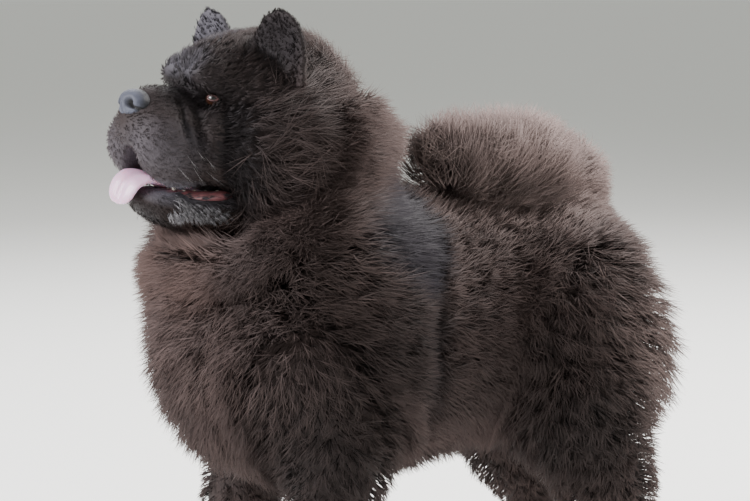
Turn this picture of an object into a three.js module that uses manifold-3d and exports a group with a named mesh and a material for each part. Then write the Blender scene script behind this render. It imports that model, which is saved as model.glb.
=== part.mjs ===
// A life-size chow chow, standing square, head up, mouth open and tail curled over its back.
// Millimetres, +Z up. The dog faces -Y and its left side is +X. The origin is on the floor, under the middle.
//
// The flesh is a smooth union of egg shapes and tapering limbs, each with the depth of its coat.
// A core is wrapped over that flesh by rays from a line inside it, and long coat is locks rooted in the core.
import * as THREE from "three";
import { mergeVertices } from "three/addons/utils/BufferGeometryUtils.js";
import Module from "manifold-3d";

const wasm = await Module();
wasm.setup();

// Driving dimensions
const WITHERS = 520; // height of the skin at the withers
const U = WITHERS / 520; // every size below is stated for a 520 mm dog and scaled by this
const GAP = 0.3; // clearance kept between neighbouring solids
const LEG_OUT = 98; // half the distance between left and right legs
const HEAD_AT = [0, -186, 636]; // middle of the skull
const HEAD_PITCH = 12; // degrees that the muzzle is raised
const HEAD_TURN = -6; // degrees that the head is turned; below 0 it looks to the dog's left
const CORE = 0.45; // share of a long coat's depth that the core under the locks takes
const SHORT = 10; // coat that is no deeper than this has no locks

const deg = Math.PI / 180;
const mix = (a, b, t) => a + (b - a) * t;
const clamp01 = (t) => Math.min(1, Math.max(0, t));
const add = (a, b, s = 1) => [a[0] + b[0] * s, a[1] + b[1] * s, a[2] + b[2] * s];
const dot = (a, b) => a[0] * b[0] + a[1] * b[1] + a[2] * b[2];
const unit = (a) => add([0, 0, 0], a, 1 / (Math.hypot(...a) || 1));

// The head's own frame: forwards along the muzzle, left, and up
const pitch = HEAD_PITCH * deg;
const turn = HEAD_TURN * deg;
const FORWARD = [-Math.sin(turn) * Math.cos(pitch), -Math.cos(turn) * Math.cos(pitch), Math.sin(pitch)];
const LEFT = [Math.cos(turn), -Math.sin(turn), 0];
const UPWARD = [Math.sin(turn) * Math.sin(pitch), Math.cos(turn) * Math.sin(pitch), Math.cos(pitch)];
const fromHead = (q) => add(add(add(HEAD_AT, FORWARD, q[0]), LEFT, q[1]), UPWARD, q[2]);
const toHead = (p) => {
  const d = add(p, HEAD_AT, -1);
  return [dot(d, FORWARD), dot(d, LEFT), dot(d, UPWARD)];
};

// Flesh: egg shapes and tapering limbs. A paired one is mirrored to the other side.
const egg = (at, half, coat, paired = false) => ({ at, half, coat, paired });
const limb = (from, to, r0, r1, coat, paired = false) => ({ from, to, r0, r1, coat, paired });

function distanceTo(shape, p, side) {
  if (shape.half) {
    const d = [p[0] - shape.at[0], p[1] - shape.at[1], p[2] - shape.at[2]];
    if (shape.paired) d[side] = Math.abs(p[side]) - shape.at[side];
    const [a, b, c] = shape.half;
    const near = Math.hypot(d[0] / a, d[1] / b, d[2] / c);
    const slope = Math.hypot(d[0] / (a * a), d[1] / (b * b), d[2] / (c * c));
    return slope < 1e-9 ? -Math.min(a, b, c) : (near * (near - 1)) / slope;
  }
  const q = [...p];
  if (shape.paired) q[side] = Math.abs(q[side]);
  const along = add(shape.to, shape.from, -1);
  const rel = add(q, shape.from, -1);
  const t = clamp01(dot(rel, along) / dot(along, along));
  return Math.hypot(...add(rel, along, -t)) - mix(shape.r0, shape.r1, t);
}

// Distance to the smoothly joined shapes, and the coat's depth there. Pairs are mirrored in the axis side.
function fleshOf(shapes, p, side, soft) {
  let d = 1e6;
  let coat = 0;
  for (const shape of shapes) {
    const e = distanceTo(shape, p, side);
    const h = clamp01(0.5 + (0.5 * (d - e)) / soft);
    d = mix(d, e, h) - soft * h * (1 - h);
    coat = mix(coat, shape.coat, h);
  }
  return [d, coat];
}

// Trunk, from forechest to croup
const TRUNK = [
  egg([0, -165, 385], [104, 90, 112], 62),
  egg([0, -85, 385], [114, 170, 124], 52),
  egg([0, -95, 470], [70, 90, 42], 42),
  egg([0, 90, 392], [100, 150, 106], 52),
  egg([0, 172, 406], [98, 88, 96], 54),
  egg([84, -140, 400], [48, 72, 108], 58, true),
];
// Neck, with the deep ruff that stands round it
const NECK = [
  limb([0, -176, 600], [0, -136, 450], 62, 92, 62),
  egg([0, -166, 640], [66, 56, 62], 66),
  egg([0, -172, 470], [94, 68, 78], 78),
  egg([44, -162, 545], [40, 52, 88], 60, true),
];
const FORELEG = [
  limb([92, -180, 370], [100, -150, 276], 50, 46, 34, true),
  limb([100, -150, 276], [99, -162, 190], 42, 38, 20, true),
  limb([99, -162, 190], [LEG_OUT, -168, 104], 38, 31, 10, true),
  limb([LEG_OUT, -168, 104], [LEG_OUT, -178, 44], 29, 28, 10, true),
];
const HINDLEG = [
  egg([82, 176, 352], [54, 88, 104], 52, true),
  limb([90, 165, 300], [94, 212, 205], 58, 38, 38, true),
  limb([94, 212, 205], [92, 240, 146], 38, 30, 16, true),
  limb([92, 240, 146], [92, 228, 44], 28, 27, 10, true),
];
// A foot: the pad and four toes ahead of it
const TOES = [-26, -9, 9, 26]; // how far out each toe is from the middle of the foot
const toeAhead = (out) => (Math.abs(out) > 10 ? 26 : 36);
const foot = (x, y) => [
  egg([x, y, 22], [33, 40, 30], 5, true),
  ...TOES.map((out) => egg([x + out, y - toeAhead(out), 15], [12, 20, 18], 4, true)),
];
const FORE_FOOT_AT = [LEG_OUT, -190];
const HIND_FOOT_AT = [92, 214];
const FORE_FOOT = [FORELEG[3], ...foot(...FORE_FOOT_AT)];
const HIND_FOOT = [HINDLEG[3], ...foot(...HIND_FOOT_AT)];

// Tail: set high, curled forwards over the back
const TAIL_PATH = [
  [0, 188, 452],
  [0, 216, 498],
  [0, 202, 538],
  [0, 150, 560],
  [0, 95, 568],
  [0, 42, 570],
];
const TAIL_COAT = [26, 50, 66, 68, 60];
const tailThick = (i) => 25 - 3.5 * i;
const TAIL = TAIL_COAT.map((coat, i) =>
  limb(TAIL_PATH[i], TAIL_PATH[i + 1], tailThick(i), tailThick(i) - 3, coat),
);

// Head, in its own frame
const HEAD = [
  egg([8, 0, 18], [90, 78, 66], 10),
  egg([64, 0, 24], [42, 50, 34], 8),
  egg([84, 27, 26], [29, 23, 20], 5, true),
  limb([84, 0, -30], [136, 0, -31], 42, 30, 3),
  egg([126, 0, -8], [30, 21, 13], 3),
  egg([114, 30, -53], [50, 29, 43], 3, true),
  egg([122, 0, -40], [44, 36, 30], 3),
  egg([58, 48, -42], [46, 32, 42], 7, true),
  egg([16, 60, -38], [44, 38, 60], 48, true),
];
const JAW = [
  limb([26, 40, -112], [100, 18, -117], 19, 16, 8, true),
  egg([112, 0, -114], [30, 32, 17], 3),
  egg([34, 0, -116], [56, 44, 26], 16),
];

const inTrunk = (p) => fleshOf(TRUNK, p, 0, 40);
const inNeck = (p) => fleshOf([...NECK, TRUNK[0], TRUNK[5]], p, 0, 40);
const inForeleg = (p) => fleshOf(FORELEG, p, 0, 22);
const inHindleg = (p) => fleshOf(HINDLEG, p, 0, 26);
const inForeFoot = (p) => fleshOf(FORE_FOOT, p, 0, 7);
const inHindFoot = (p) => fleshOf(HIND_FOOT, p, 0, 7);
const inTail = (p) => fleshOf(TAIL, p, 0, 16);
const inHead = (q) => fleshOf(HEAD, q, 1, 16);
const inJaw = (q) => fleshOf(JAW, q, 1, 12);

// Closed grid of rows and columns between two poles, as triangles
function closedGrid(rows, columns, pointAt) {
  const positions = [...pointAt(0, 0)];
  for (let i = 1; i < rows; i++)
    for (let j = 0; j < columns; j++) positions.push(...pointAt(i / rows, j / columns));
  positions.push(...pointAt(1, 0));
  const last = positions.length / 3 - 1;
  const at = (i, j) => 1 + (i - 1) * columns + (j % columns);
  const index = [];
  for (let j = 0; j < columns; j++) {
    index.push(0, at(1, j + 1), at(1, j), last, at(rows - 1, j), at(rows - 1, j + 1));
    for (let i = 1; i < rows - 1; i++) {
      index.push(at(i, j), at(i, j + 1), at(i + 1, j));
      index.push(at(i + 1, j), at(i, j + 1), at(i + 1, j + 1));
    }
  }
  const geometry = new THREE.BufferGeometry();
  geometry.setAttribute("position", new THREE.Float32BufferAttribute(positions, 3));
  geometry.setIndex(index);
  return geometry;
}

// Depth of the core over the skin, which takes all of a short coat
const toCore = (coat) => Math.max(Math.min(coat, SHORT), CORE * coat);

// Where a ray from a line inside the flesh leaves the core. u runs along the line and v round it. At both
// ends the rays swing from square to the line to straight along it, which closes the form in a pole.
const RAY_STEP = 5;
const RAY_END = 420; // longer than any ray
function coatPoint(form, u, v, grow = 0) {
  const cap = form.cap ?? 0.24;
  const t = clamp01((u - cap) / (1 - 2 * cap));
  const lean = u < cap ? u / cap - 1 : u > 1 - cap ? (u - 1 + cap) / cap : 0;
  const from = form.line.getPoint(t).toArray();
  const along = form.line.getTangent(t).toArray();
  const across = form.across;
  const upright = unit(new THREE.Vector3(...along).cross(new THREE.Vector3(...across)).toArray());
  const angle = v * 2 * Math.PI;
  const tilt = lean * 90 * deg;
  const round = add(add([0, 0, 0], upright, Math.cos(angle)), across, Math.sin(angle));
  const ray = add(add([0, 0, 0], round, Math.cos(tilt)), along, Math.sin(tilt));
  const outside = (s) => {
    const [d, coat] = form.flesh(add(from, ray, s));
    return d - toCore(coat) - grow;
  };
  let far = RAY_STEP;
  while (outside(far) < 0 && far < RAY_END) far += RAY_STEP;
  let near = far - RAY_STEP;
  for (let k = 0; k < 14; k++) {
    const middle = (near + far) / 2;
    if (outside(middle) < 0) near = middle;
    else far = middle;
  }
  return add(from, ray, near);
}

const lineThrough = (points) => new THREE.CatmullRomCurve3(points.map((p) => new THREE.Vector3(...p)));
const BODY_ACROSS = [1, 0, 0];
const HEAD_ACROSS = [0, 1, 0];
const SIDES = [
  ["left", 1],
  ["right", -1],
];
const mirrored = (points) => points.map(([x, y, z]) => [-x, y, z]);

const TRUNK_FORM = {
  flesh: inTrunk,
  line: lineThrough([[0, -150, 385], [0, -40, 385], [0, 80, 395], [0, 165, 400]]),
  across: BODY_ACROSS,
  rows: 12,
  columns: 14,
};
const NECK_FORM = {
  flesh: inNeck,
  line: lineThrough([[0, -165, 430], [0, -168, 520], [0, -172, 610]]),
  across: BODY_ACROSS,
  rows: 10,
  columns: 14,
};
const FORELEG_LINE = [[95, -168, 330], [97, -158, 200], [95, -168, 100], [95, -176, 50]];
const HINDLEG_LINE = [[84, 172, 350], [92, 205, 215], [92, 238, 146], [92, 228, 50]];
const legForm = (flesh, points, rows) => ({
  flesh,
  line: lineThrough(points),
  across: BODY_ACROSS,
  rows,
  columns: 10,
});
const footForm = (flesh, x, y) => ({
  flesh,
  line: lineThrough([[x, y - 4, 80], [x, y - 8, 14]]),
  across: BODY_ACROSS,
  rows: 8,
  columns: 16,
  cap: 0.3,
});
const TAIL_FORM = {
  flesh: inTail,
  line: lineThrough(TAIL_PATH),
  across: BODY_ACROSS,
  rows: 12,
  columns: 12,
  cap: 0.2,
};
const HEAD_FORM = {
  flesh: inHead,
  line: lineThrough([[-30, 0, 4], [50, 0, -6], [124, 0, -40]]),
  across: HEAD_ACROSS,
  rows: 18,
  columns: 22,
  cap: 0.2,
};
const JAW_FORM = {
  flesh: inJaw,
  line: lineThrough([[10, 0, -112], [108, 0, -114]]),
  across: HEAD_ACROSS,
  rows: 8,
  columns: 12,
};

// A solid from closed triangles, turned outwards if they face in
const WELD = 1e-4; // corners nearer than this are one
function solidFrom(geometry) {
  const bare = geometry.index ? geometry : mergeVertices(geometry);
  const clean = new THREE.BufferGeometry();
  clean.setAttribute("position", bare.getAttribute("position"));
  clean.setIndex(bare.index);
  const merged = mergeVertices(clean, WELD);
  const vertProperties = new Float32Array(merged.attributes.position.array);
  const triVerts = new Uint32Array(merged.index.array);
  const solid = new wasm.Manifold(new wasm.Mesh({ numProp: 3, vertProperties, triVerts }));
  if (solid.volume() > 0) return solid;
  for (let i = 0; i < triVerts.length; i += 3)
    [triVerts[i + 1], triVerts[i + 2]] = [triVerts[i + 2], triVerts[i + 1]];
  return new wasm.Manifold(new wasm.Mesh({ numProp: 3, vertProperties, triVerts }));
}

const wrap = (form, grow = 0, make = solidFrom) =>
  make(closedGrid(form.rows, form.columns, (u, v) => coatPoint(form, u, v, grow)));

// A solid in the head's frame, from a grid or a stock shape given there
function headSolid(geometry) {
  const basis = new THREE.Matrix4().makeBasis(
    new THREE.Vector3(...FORWARD),
    new THREE.Vector3(...LEFT),
    new THREE.Vector3(...UPWARD),
  );
  basis.setPosition(...HEAD_AT);
  return solidFrom(geometry.clone().applyMatrix4(basis));
}

const bare = (geometry) => {
  geometry.deleteAttribute("normal");
  geometry.deleteAttribute("uv");
  return mergeVertices(geometry, WELD);
};
const ballAt = (at, half, tilt = 0, around = 14, rings = 9) =>
  bare(new THREE.SphereGeometry(1, around, rings))
    .scale(...half)
    .rotateY(tilt * deg)
    .translate(...at);

// Box between two corners, each side moved out by grow
function boxBetween(low, high, grow) {
  const size = high.map((h, i) => h - low[i] + 2 * grow);
  const centre = high.map((h, i) => (h + low[i]) / 2);
  return bare(new THREE.BoxGeometry(...size)).translate(...centre);
}
// Parts a solid with a thin cut: what lies in the box, and what lies outside it
function part(solid, low, high, make = solidFrom) {
  return [
    solid.intersect(make(boxBetween(low, high, -GAP / 2))),
    solid.subtract(make(boxBetween(low, high, GAP / 2))),
  ];
}
// Largest closed surface of a solid, which also fills any sealed hollow
function largest(solid) {
  const pieces = solid.decompose();
  return pieces.reduce((best, piece) => (piece.volume() > best.volume() ? piece : best));
}

// Seeded draw, so that every build gives the same coat
let seed = 28;
function draw(low, high) {
  seed = (seed * 1664525 + 1013904223) % 4294967296;
  return mix(low, high, seed / 4294967296);
}

// Way out of the flesh at a point, from differences over a short step
const SLOPE_STEP = 2;
function outward(flesh, p) {
  const [here] = flesh(p);
  return unit([0, 1, 2].map((k) => flesh(p.map((x, i) => x + (i === k ? SLOPE_STEP : 0)))[0] - here));
}

// A lock of coat: a flat leaf with a ridge down its middle, rooted under the core. It bends over along the
// lie and tapers to a tip at the full depth of the coat. Stations are shares of its length, width, thickness.
const LOCK_STATIONS = [[0, 0.8, 1], [0.42, 1, 1], [0.76, 0.68, 0.7]];
const LOCK_SUNK = 10; // depth of the root under the core
// Thin edges slant, so they move out by more than the gap for the gap to hold square to them
const SLANT_GROW = 7;
const RIDGE_GROW = 2;
function lockAt(flesh, root, lie, { reach, wide, thick, bow = 1.1 }) {
  const out = outward(flesh, root);
  const along = unit(add(lie, out, -dot(lie, out)));
  const [depth, coat] = flesh(root);
  const length = reach * coat * draw(0.9, 1.1);
  const full = draw(0.94, 1);
  let tip = add(root, along, length);
  for (let k = 0; k < 3; k++) {
    const [d, c] = flesh(tip);
    tip = add(tip, outward(flesh, tip), c * full - d);
  }
  const from = add(root, out, -LOCK_SUNK);
  const bend = add(add(root, along, 0.3 * length), out, bow * (coat - depth));
  return { out, from, bend, tip, wide: wide * draw(0.9, 1.1), thick };
}

function lockSolid({ out, from, bend, tip, wide, thick }, grow, make) {
  const line = new THREE.QuadraticBezierCurve3(...[from, bend, tip].map((p) => new THREE.Vector3(...p)));
  const positions = [];
  for (const [t, w, h] of LOCK_STATIONS) {
    const at = line.getPoint(t).toArray();
    const forwards = line.getTangent(t).toArray();
    const aside = unit(new THREE.Vector3(...forwards).cross(new THREE.Vector3(...out)).toArray());
    const over = unit(new THREE.Vector3(...aside).cross(new THREE.Vector3(...forwards)).toArray());
    const half = (wide * w) / 2 + SLANT_GROW * grow;
    const under = add(at, over, -thick * h * 0.3 - grow);
    positions.push(...add(under, aside, half));
    positions.push(...add(at, over, thick * h * 0.7 + RIDGE_GROW * grow));
    positions.push(...add(under, aside, -half));
  }
  positions.push(...add(tip, line.getTangent(1).toArray(), SLANT_GROW * grow));
  const index = [0, 1, 2];
  for (let j = 0; j < 3; j++) {
    const k = (j + 1) % 3;
    for (const ring of [0, 3]) {
      index.push(ring + j, ring + 3 + j, ring + k);
      index.push(ring + k, ring + 3 + j, ring + 3 + k);
    }
    index.push(6 + j, 9, 6 + k);
  }
  const geometry = new THREE.BufferGeometry();
  geometry.setAttribute("position", new THREE.Float32BufferAttribute(positions, 3));
  geometry.setIndex(index);
  return make(geometry);
}

// Locks over a form: staggered rows from first to last, as many to a row as its girth takes. Roots that other
// forms bury, or that are left out for another cause, are passed over.
const BURIED = 9; // a root this far under another core grows no lock
const STRAY = 0.12; // how far a lock's lie strays from its neighbours'
function locksOver(form, { first, last, count, apart, lie, buriedBy = [], wanted = () => true, ...size }) {
  const found = [];
  for (let row = 0; row < count; row++) {
    const u = mix(first, last, row / Math.max(1, count - 1));
    const ring = [...Array(12).keys()].map((j) => new THREE.Vector3(...coatPoint(form, u, j / 12)));
    const girth = ring.reduce((sum, p, j) => sum + p.distanceTo(ring[(j + 1) % 12]), 0);
    const around = Math.max(3, Math.round(girth / apart));
    for (let j = 0; j < around; j++) {
      const v = (j + (row % 2 ? 0.5 : 0) + draw(-0.1, 0.1)) / around;
      const root = coatPoint(form, u + draw(-0.008, 0.008), v);
      const way = add(lie(root), [draw(-STRAY, STRAY), draw(-STRAY, STRAY), draw(-STRAY, STRAY)]);
      const inside = buriedBy.some((flesh) => {
        const [d, coat] = flesh(root);
        return d - toCore(coat) < -BURIED;
      });
      if (!inside && wanted(root)) found.push({ root, ...lockAt(form.flesh, root, way, size) });
    }
  }
  return found;
}

// Materials
const material = (color, roughness, metalness = 0) =>
  new THREE.MeshStandardMaterial({ color, roughness, metalness });
const COAT = material(0x2e2624, 0.9);
const LEATHER = material(0x2b2c30, 0.45);
const TONGUE = material(0xc9a3b4, 0.5);
const EYE = material(0x1d120c, 0.1);

const model = new THREE.Group();
function place(name, solid, finish) {
  const kept = largest(solid).getMesh();
  const vertices = new Float32Array(kept.numVert * 3);
  for (let i = 0; i < kept.numVert; i++)
    for (let k = 0; k < 3; k++) vertices[3 * i + k] = U * kept.vertProperties[i * kept.numProp + k];
  const geometry = new THREE.BufferGeometry();
  geometry.setAttribute("position", new THREE.BufferAttribute(vertices, 3));
  geometry.setIndex(new THREE.BufferAttribute(kept.triVerts, 1));
  geometry.computeVertexNormals();
  const mesh = new THREE.Mesh(geometry, finish);
  mesh.name = name;
  model.add(mesh);
}

// Eyes, nose, tongue and ears, in the head's frame
const EYE_AT = [82, 32, 3];
const EYE_R = 11;
const LIDS = { at: [13, 11, 1], half: [17, 16, 6.5] }; // the slot that the lids leave, placed from the eye
const NOSE_AT = [158, 0, -17];
const NOSE_HALF = [17, 23, 16];
const NOSTRIL = { at: [14, 10, -1], half: [8, 4.5, 5] }; // places from the middle of the nose
const SLIT = { at: [7, 18, -5], half: [10, 5, 2.6] };
const TONGUE_PATH = [
  [36, 0, -103],
  [80, 0, -98],
  [116, 0, -92],
  [136, -1, -91],
  [150, -2, -100],
  [157, -3, -123],
];
const TONGUE_WIDE = 22;
const TONGUE_THICK = 6;
const TONGUE_ROLL = 20; // degrees that its front is rolled down to the dog's left
const TONGUE_ROOM = 1; // clearance round the tongue, where it lies in the mouth
const EAR = { root: [34, 65, 43], height: 63, wide: 36, deep: 13, thick: 8, splay: 4, lean: 11 };
const EAR_FACING = { 1: 22, [-1]: -8 }; // degrees that the left and the right ear are turned outwards

const onSide = ([x, y, z], side) => [x, side * y, z];
const eyeSolid = (side, grow) =>
  headSolid(ballAt(onSide(EYE_AT, side), [EYE_R + grow, EYE_R + grow, EYE_R + grow], 0, 10, 7));
const noseSolid = (grow) => {
  let pad = headSolid(ballAt(NOSE_AT, NOSE_HALF.map((h) => h + grow), 14, 12, 7));
  if (grow) return pad;
  for (const side of [1, -1])
    for (const { at, half } of [NOSTRIL, SLIT])
      pad = pad.subtract(headSolid(ballAt(add(NOSE_AT, onSide(at, side)), half, 0, 6, 4)));
  return pad;
};

// Tongue: a flat bar along its path, widest in the middle, hollowed along its top
function tongueSolid(grow) {
  const line = lineThrough(TONGUE_PATH);
  const geometry = closedGrid(11, 12, (u, v) => {
    const along = line.getTangent(u).toArray();
    const at = add(line.getPoint(u).toArray(), along, 2 * grow * (2 * u - 1));
    if (u === 0 || u === 1) return at;
    const roll = TONGUE_ROLL * clamp01((u - 0.4) / 0.3) * deg;
    const flat = unit([-along[2], 0, along[0]]);
    const up = add([0, Math.sin(roll), 0], flat, Math.cos(roll));
    const aside = add([0, Math.cos(roll), 0], flat, -Math.sin(roll));
    const full = Math.sqrt(1 - (2 * u - 1) ** 8) * mix(1, 0.94, u);
    const angle = v * 2 * Math.PI;
    const side = Math.sin(angle) * (TONGUE_WIDE * full + grow);
    const groove = grow || Math.cos(angle) < 0 ? 0 : 2.2 * full * Math.max(0, 1 - (side / 9) ** 2);
    return add(add(at, aside, side), up, Math.cos(angle) * (TONGUE_THICK * full + grow) - groove);
  });
  return headSolid(geometry);
}

// Ear: a thick triangular leaf with a rounded tip, hollowed in front, turned a little outwards
function earSolid(side, grow) {
  const rows = 8;
  const columns = 12;
  const turnOut = EAR_FACING[side] * deg * side;
  const geometry = closedGrid(rows, columns, (u, v) => {
    const height = mix(-14, EAR.height, u);
    const rise = clamp01(height / EAR.height);
    const half = EAR.wide * (height < 0 ? 0.96 : Math.sqrt(1 - rise ** 3.6) * mix(1, 0.84, rise));
    const angle = v * 2 * Math.PI;
    const across = Math.sin(angle) * (half + grow);
    const hollow = EAR.deep * (1 - (across / (EAR.wide + grow)) ** 2) * (1 - rise ** 2);
    const thick = EAR.thick * Math.sqrt(Math.max(0, 1 - rise ** 3)) + grow;
    const closing = u === 0 ? 0 : 1;
    const away = (Math.cos(angle) * thick - hollow) * closing;
    const sideways = height * Math.tan(EAR.splay * deg);
    const ahead = height * Math.tan(EAR.lean * deg);
    const facing = [Math.cos(turnOut), Math.sin(turnOut)];
    return [
      EAR.root[0] + ahead + away * facing[0] - across * facing[1] * closing,
      side * (EAR.root[1] + sideways) + away * facing[1] + across * facing[0] * closing,
      EAR.root[2] + height,
    ];
  });
  return headSolid(geometry);
}

// Cores of the body, with all four legs, before they are parted
const legForms = [];
for (const [, side] of SIDES)
  for (const [flesh, line, rows] of [[inForeleg, FORELEG_LINE, 10], [inHindleg, HINDLEG_LINE, 11]])
    legForms.push(legForm(flesh, side > 0 ? line : mirrored(line), rows));
const floor = solidFrom(boxBetween([-900, -900, -200], [900, 900, 0], 0));
const bodyCore = (grow) =>
  wasm.Manifold.union([TRUNK_FORM, NECK_FORM, ...legForms].map((form) => wrap(form, grow))).subtract(floor);

// Boxes that part the left legs from the torso, and the heights where each leg is parted
const FAR = 900; // well past the dog
const FORE_LOW = [36, -268, -20];
const FORE_HIGH = [FAR, -52, 288];
const HIND_LOW = [28, 92, -20];
const HIND_HIGH = [FAR, 420, 352];
const FOOT_TOP = 66;
const LEG_JOINT = 205;
const within = (p, low, high) => p.every((x, i) => x > low[i] && x < high[i]);
const onLeg = ([x, y, z]) =>
  within([Math.abs(x), y, z], FORE_LOW, FORE_HIGH) || within([Math.abs(x), y, z], HIND_LOW, HIND_HIGH);

// Locks of the body. The coat lies back and down, fans out over the ruff, and stands out on the tail.
const backAndDown = () => [0, 0.7, -0.7];
const roughlyDown = () => [0, 0.35, -0.9];
const offTail = ([x, y, z]) => z < 440 || y < -20 || y > 262 || Math.abs(x) > 62;
const BELLY_TOP = 285; // under this the middle of the trunk is bare
const underBelly = ([x, , z]) => z < BELLY_TOP && Math.abs(x) < 50;
const clearOfFace = (root) => toHead(root)[0] < 10 || toHead(root)[2] < -130;
const legRows = { fore: { first: 0.1, count: 3 }, hind: { first: 0.12, count: 4 } };
const bodyLocks = [
  ...locksOver(TRUNK_FORM, {
    first: 0.12,
    last: 0.95,
    count: 7,
    apart: 120,
    lie: backAndDown,
    reach: 2.2,
    wide: 108,
    thick: 14,
    buriedBy: [inNeck, inForeleg, inHindleg],
    wanted: (root) => offTail(root) && !onLeg(root) && !underBelly(root),
  }),
  ...locksOver(NECK_FORM, {
    first: 0.18,
    last: 0.97,
    count: 6,
    apart: 114,
    lie: roughlyDown,
    reach: 2,
    wide: 100,
    thick: 14,
    buriedBy: [inTrunk, inForeleg],
    wanted: clearOfFace,
  }),
  ...legForms.flatMap((form, i) =>
    locksOver(form, {
      ...legRows[i % 2 ? "hind" : "fore"],
      last: 0.5,
      apart: 96,
      lie: roughlyDown,
      reach: 2,
      wide: 90,
      thick: 12,
      buriedBy: [inTrunk, inNeck],
      wanted: ([x, , z]) => z > LEG_JOINT + LOCK_SUNK && Math.abs(x) > 40,
    }),
  ),
];
const tailLocks = locksOver(TAIL_FORM, {
  first: 0.3,
  last: 0.9,
  count: 6,
  apart: 70,
  lie: () => [0, -0.7, 0.2],
  reach: 1,
  wide: 68,
  thick: 13,
  bow: 0.75,
});
const headLocks = locksOver(HEAD_FORM, {
  first: 0.16,
  last: 0.46,
  count: 3,
  apart: 62,
  lie: () => [-0.8, 0, -0.6],
  reach: 1.9,
  wide: 70,
  thick: 12,
  wanted: (q) => Math.abs(q[1]) > 62 && q[2] < 16,
});
const lockUnion = (locks, grow, make = solidFrom) => locks.map((lock) => lockSolid(lock, grow, make));

// Head: parted from the neck behind the ears, and from the throat under the jaw
const HEAD_LOW = [-24, -320, -146];
const HEAD_HIGH = [320, 320, 320];
const headBox = (grow) => headSolid(boxBetween(HEAD_LOW, HEAD_HIGH, grow - GAP / 2));
const skullPart = (grow) => wrap(HEAD_FORM, grow, headSolid).intersect(headBox(grow));
const palate = headSolid(ballAt([112, 0, -104], [84, 23, 50], 0, 12, 8));
const tongue = tongueSolid(0);
const lids = (side) => headSolid(ballAt(onSide(add(EYE_AT, LIDS.at), side), LIDS.half, -8, 10, 7));
const channel = headSolid(ballAt([74, 0, -92], [48, 24, 14], 2, 10, 6));
const headGrown = wasm.Manifold.union([skullPart(GAP), ...lockUnion(headLocks, GAP, headSolid)]);
let head = wasm.Manifold.union([skullPart(0), ...lockUnion(headLocks, 0, headSolid)]);
head = head.subtract(palate).subtract(tongueSolid(TONGUE_ROOM)).subtract(noseSolid(GAP));
for (const side of [1, -1]) head = head.subtract(eyeSolid(side, GAP)).subtract(lids(side));
const jawPart = (grow) => wrap(JAW_FORM, grow, headSolid).intersect(headBox(grow));
const jaw = jawPart(0).subtract(headGrown).subtract(channel).subtract(tongueSolid(TONGUE_ROOM));

place("head", head, COAT);
place("lower_jaw", jaw, COAT);
place("nose", noseSolid(0), LEATHER);
place("tongue", tongue, TONGUE);
for (const [name, side] of SIDES) place(`eye_${name}`, eyeSolid(side, 0), EYE);
const taken = [headGrown, jawPart(GAP)]; // what the nodes placed so far hold, each grown by the gap
for (const [name, side] of SIDES) {
  place(`ear_${name}`, earSolid(side, 0).subtract(headGrown), COAT);
  taken.push(earSolid(side, GAP));
}

// Tail, over the back
const tailPart = (grow) => wasm.Manifold.union([wrap(TAIL_FORM, grow), ...lockUnion(tailLocks, grow)]);
place("tail", tailPart(0), COAT);
taken.push(tailPart(GAP));

// The body's parts, each a box in the body or, for the neck, the space above a slant plane. What comes first
// lies over what comes later.
const NECK_SLANT = 26; // degrees
const slant = new THREE.Matrix4().makeRotationX(NECK_SLANT * deg).setPosition(0, -150, 468);
const offSlant = slant.clone().invert();
const aboveSlant = (geometry) => solidFrom(geometry.applyMatrix4(slant));
const REGIONS = [{ name: "neck", low: [-FAR, -FAR, 0], high: [FAR, FAR, FAR], make: aboveSlant }];
const UNDER_FLOOR = -20;
for (const [name, side] of SIDES)
  for (const [leg, low, high] of [["fore", FORE_LOW, FORE_HIGH], ["hind", HIND_LOW, HIND_HIGH]]) {
    const across = side > 0 ? [low[0], high[0]] : [-high[0], -low[0]];
    const heights = {
      upper: [LEG_JOINT, high[2]],
      lower: [FOOT_TOP, LEG_JOINT],
      foot: [UNDER_FLOOR, FOOT_TOP],
    };
    for (const [half, [bottom, top]] of Object.entries(heights))
      REGIONS.push({
        name: `${leg}leg_${half}_${name}`,
        low: [across[0], low[1], bottom],
        high: [across[1], high[1], top],
        make: solidFrom,
      });
  }
REGIONS.push({ name: "torso", low: [-FAR, -FAR, -FAR], high: [FAR, FAR, FAR], make: solidFrom });

function regionOf(root) {
  const inSlant = new THREE.Vector3(...root).applyMatrix4(offSlant).toArray();
  return REGIONS.find(({ low, high, make }) => within(make === aboveSlant ? inSlant : root, low, high));
}

let core = bodyCore(0);
let coreGrown = bodyCore(GAP);
for (const region of REGIONS) {
  const { low, high, make } = region;
  [region.piece, core] = part(core, low, high, make);
  region.grown = coreGrown.intersect(make(boxBetween(low, high, GAP / 2)));
  coreGrown = coreGrown.subtract(make(boxBetween(low, high, -GAP / 2)));
}
// The neck's locks lie over the torso's, and the torso's over the legs'
const overFirst = REGIONS.filter(({ name }) => name === "neck" || name === "torso");
const overLast = REGIONS.filter(({ name }) => /_(upper|lower)_/.test(name));
for (const region of [...overFirst, ...overLast]) {
  const locks = bodyLocks.filter(({ root }) => regionOf(root) === region);
  let solid = wasm.Manifold.union([region.piece, ...lockUnion(locks, 0)]);
  for (const other of taken) solid = solid.subtract(other);
  place(region.name, solid, COAT);
  taken.push(wasm.Manifold.union([region.grown, ...lockUnion(locks, GAP)]));
}

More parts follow.
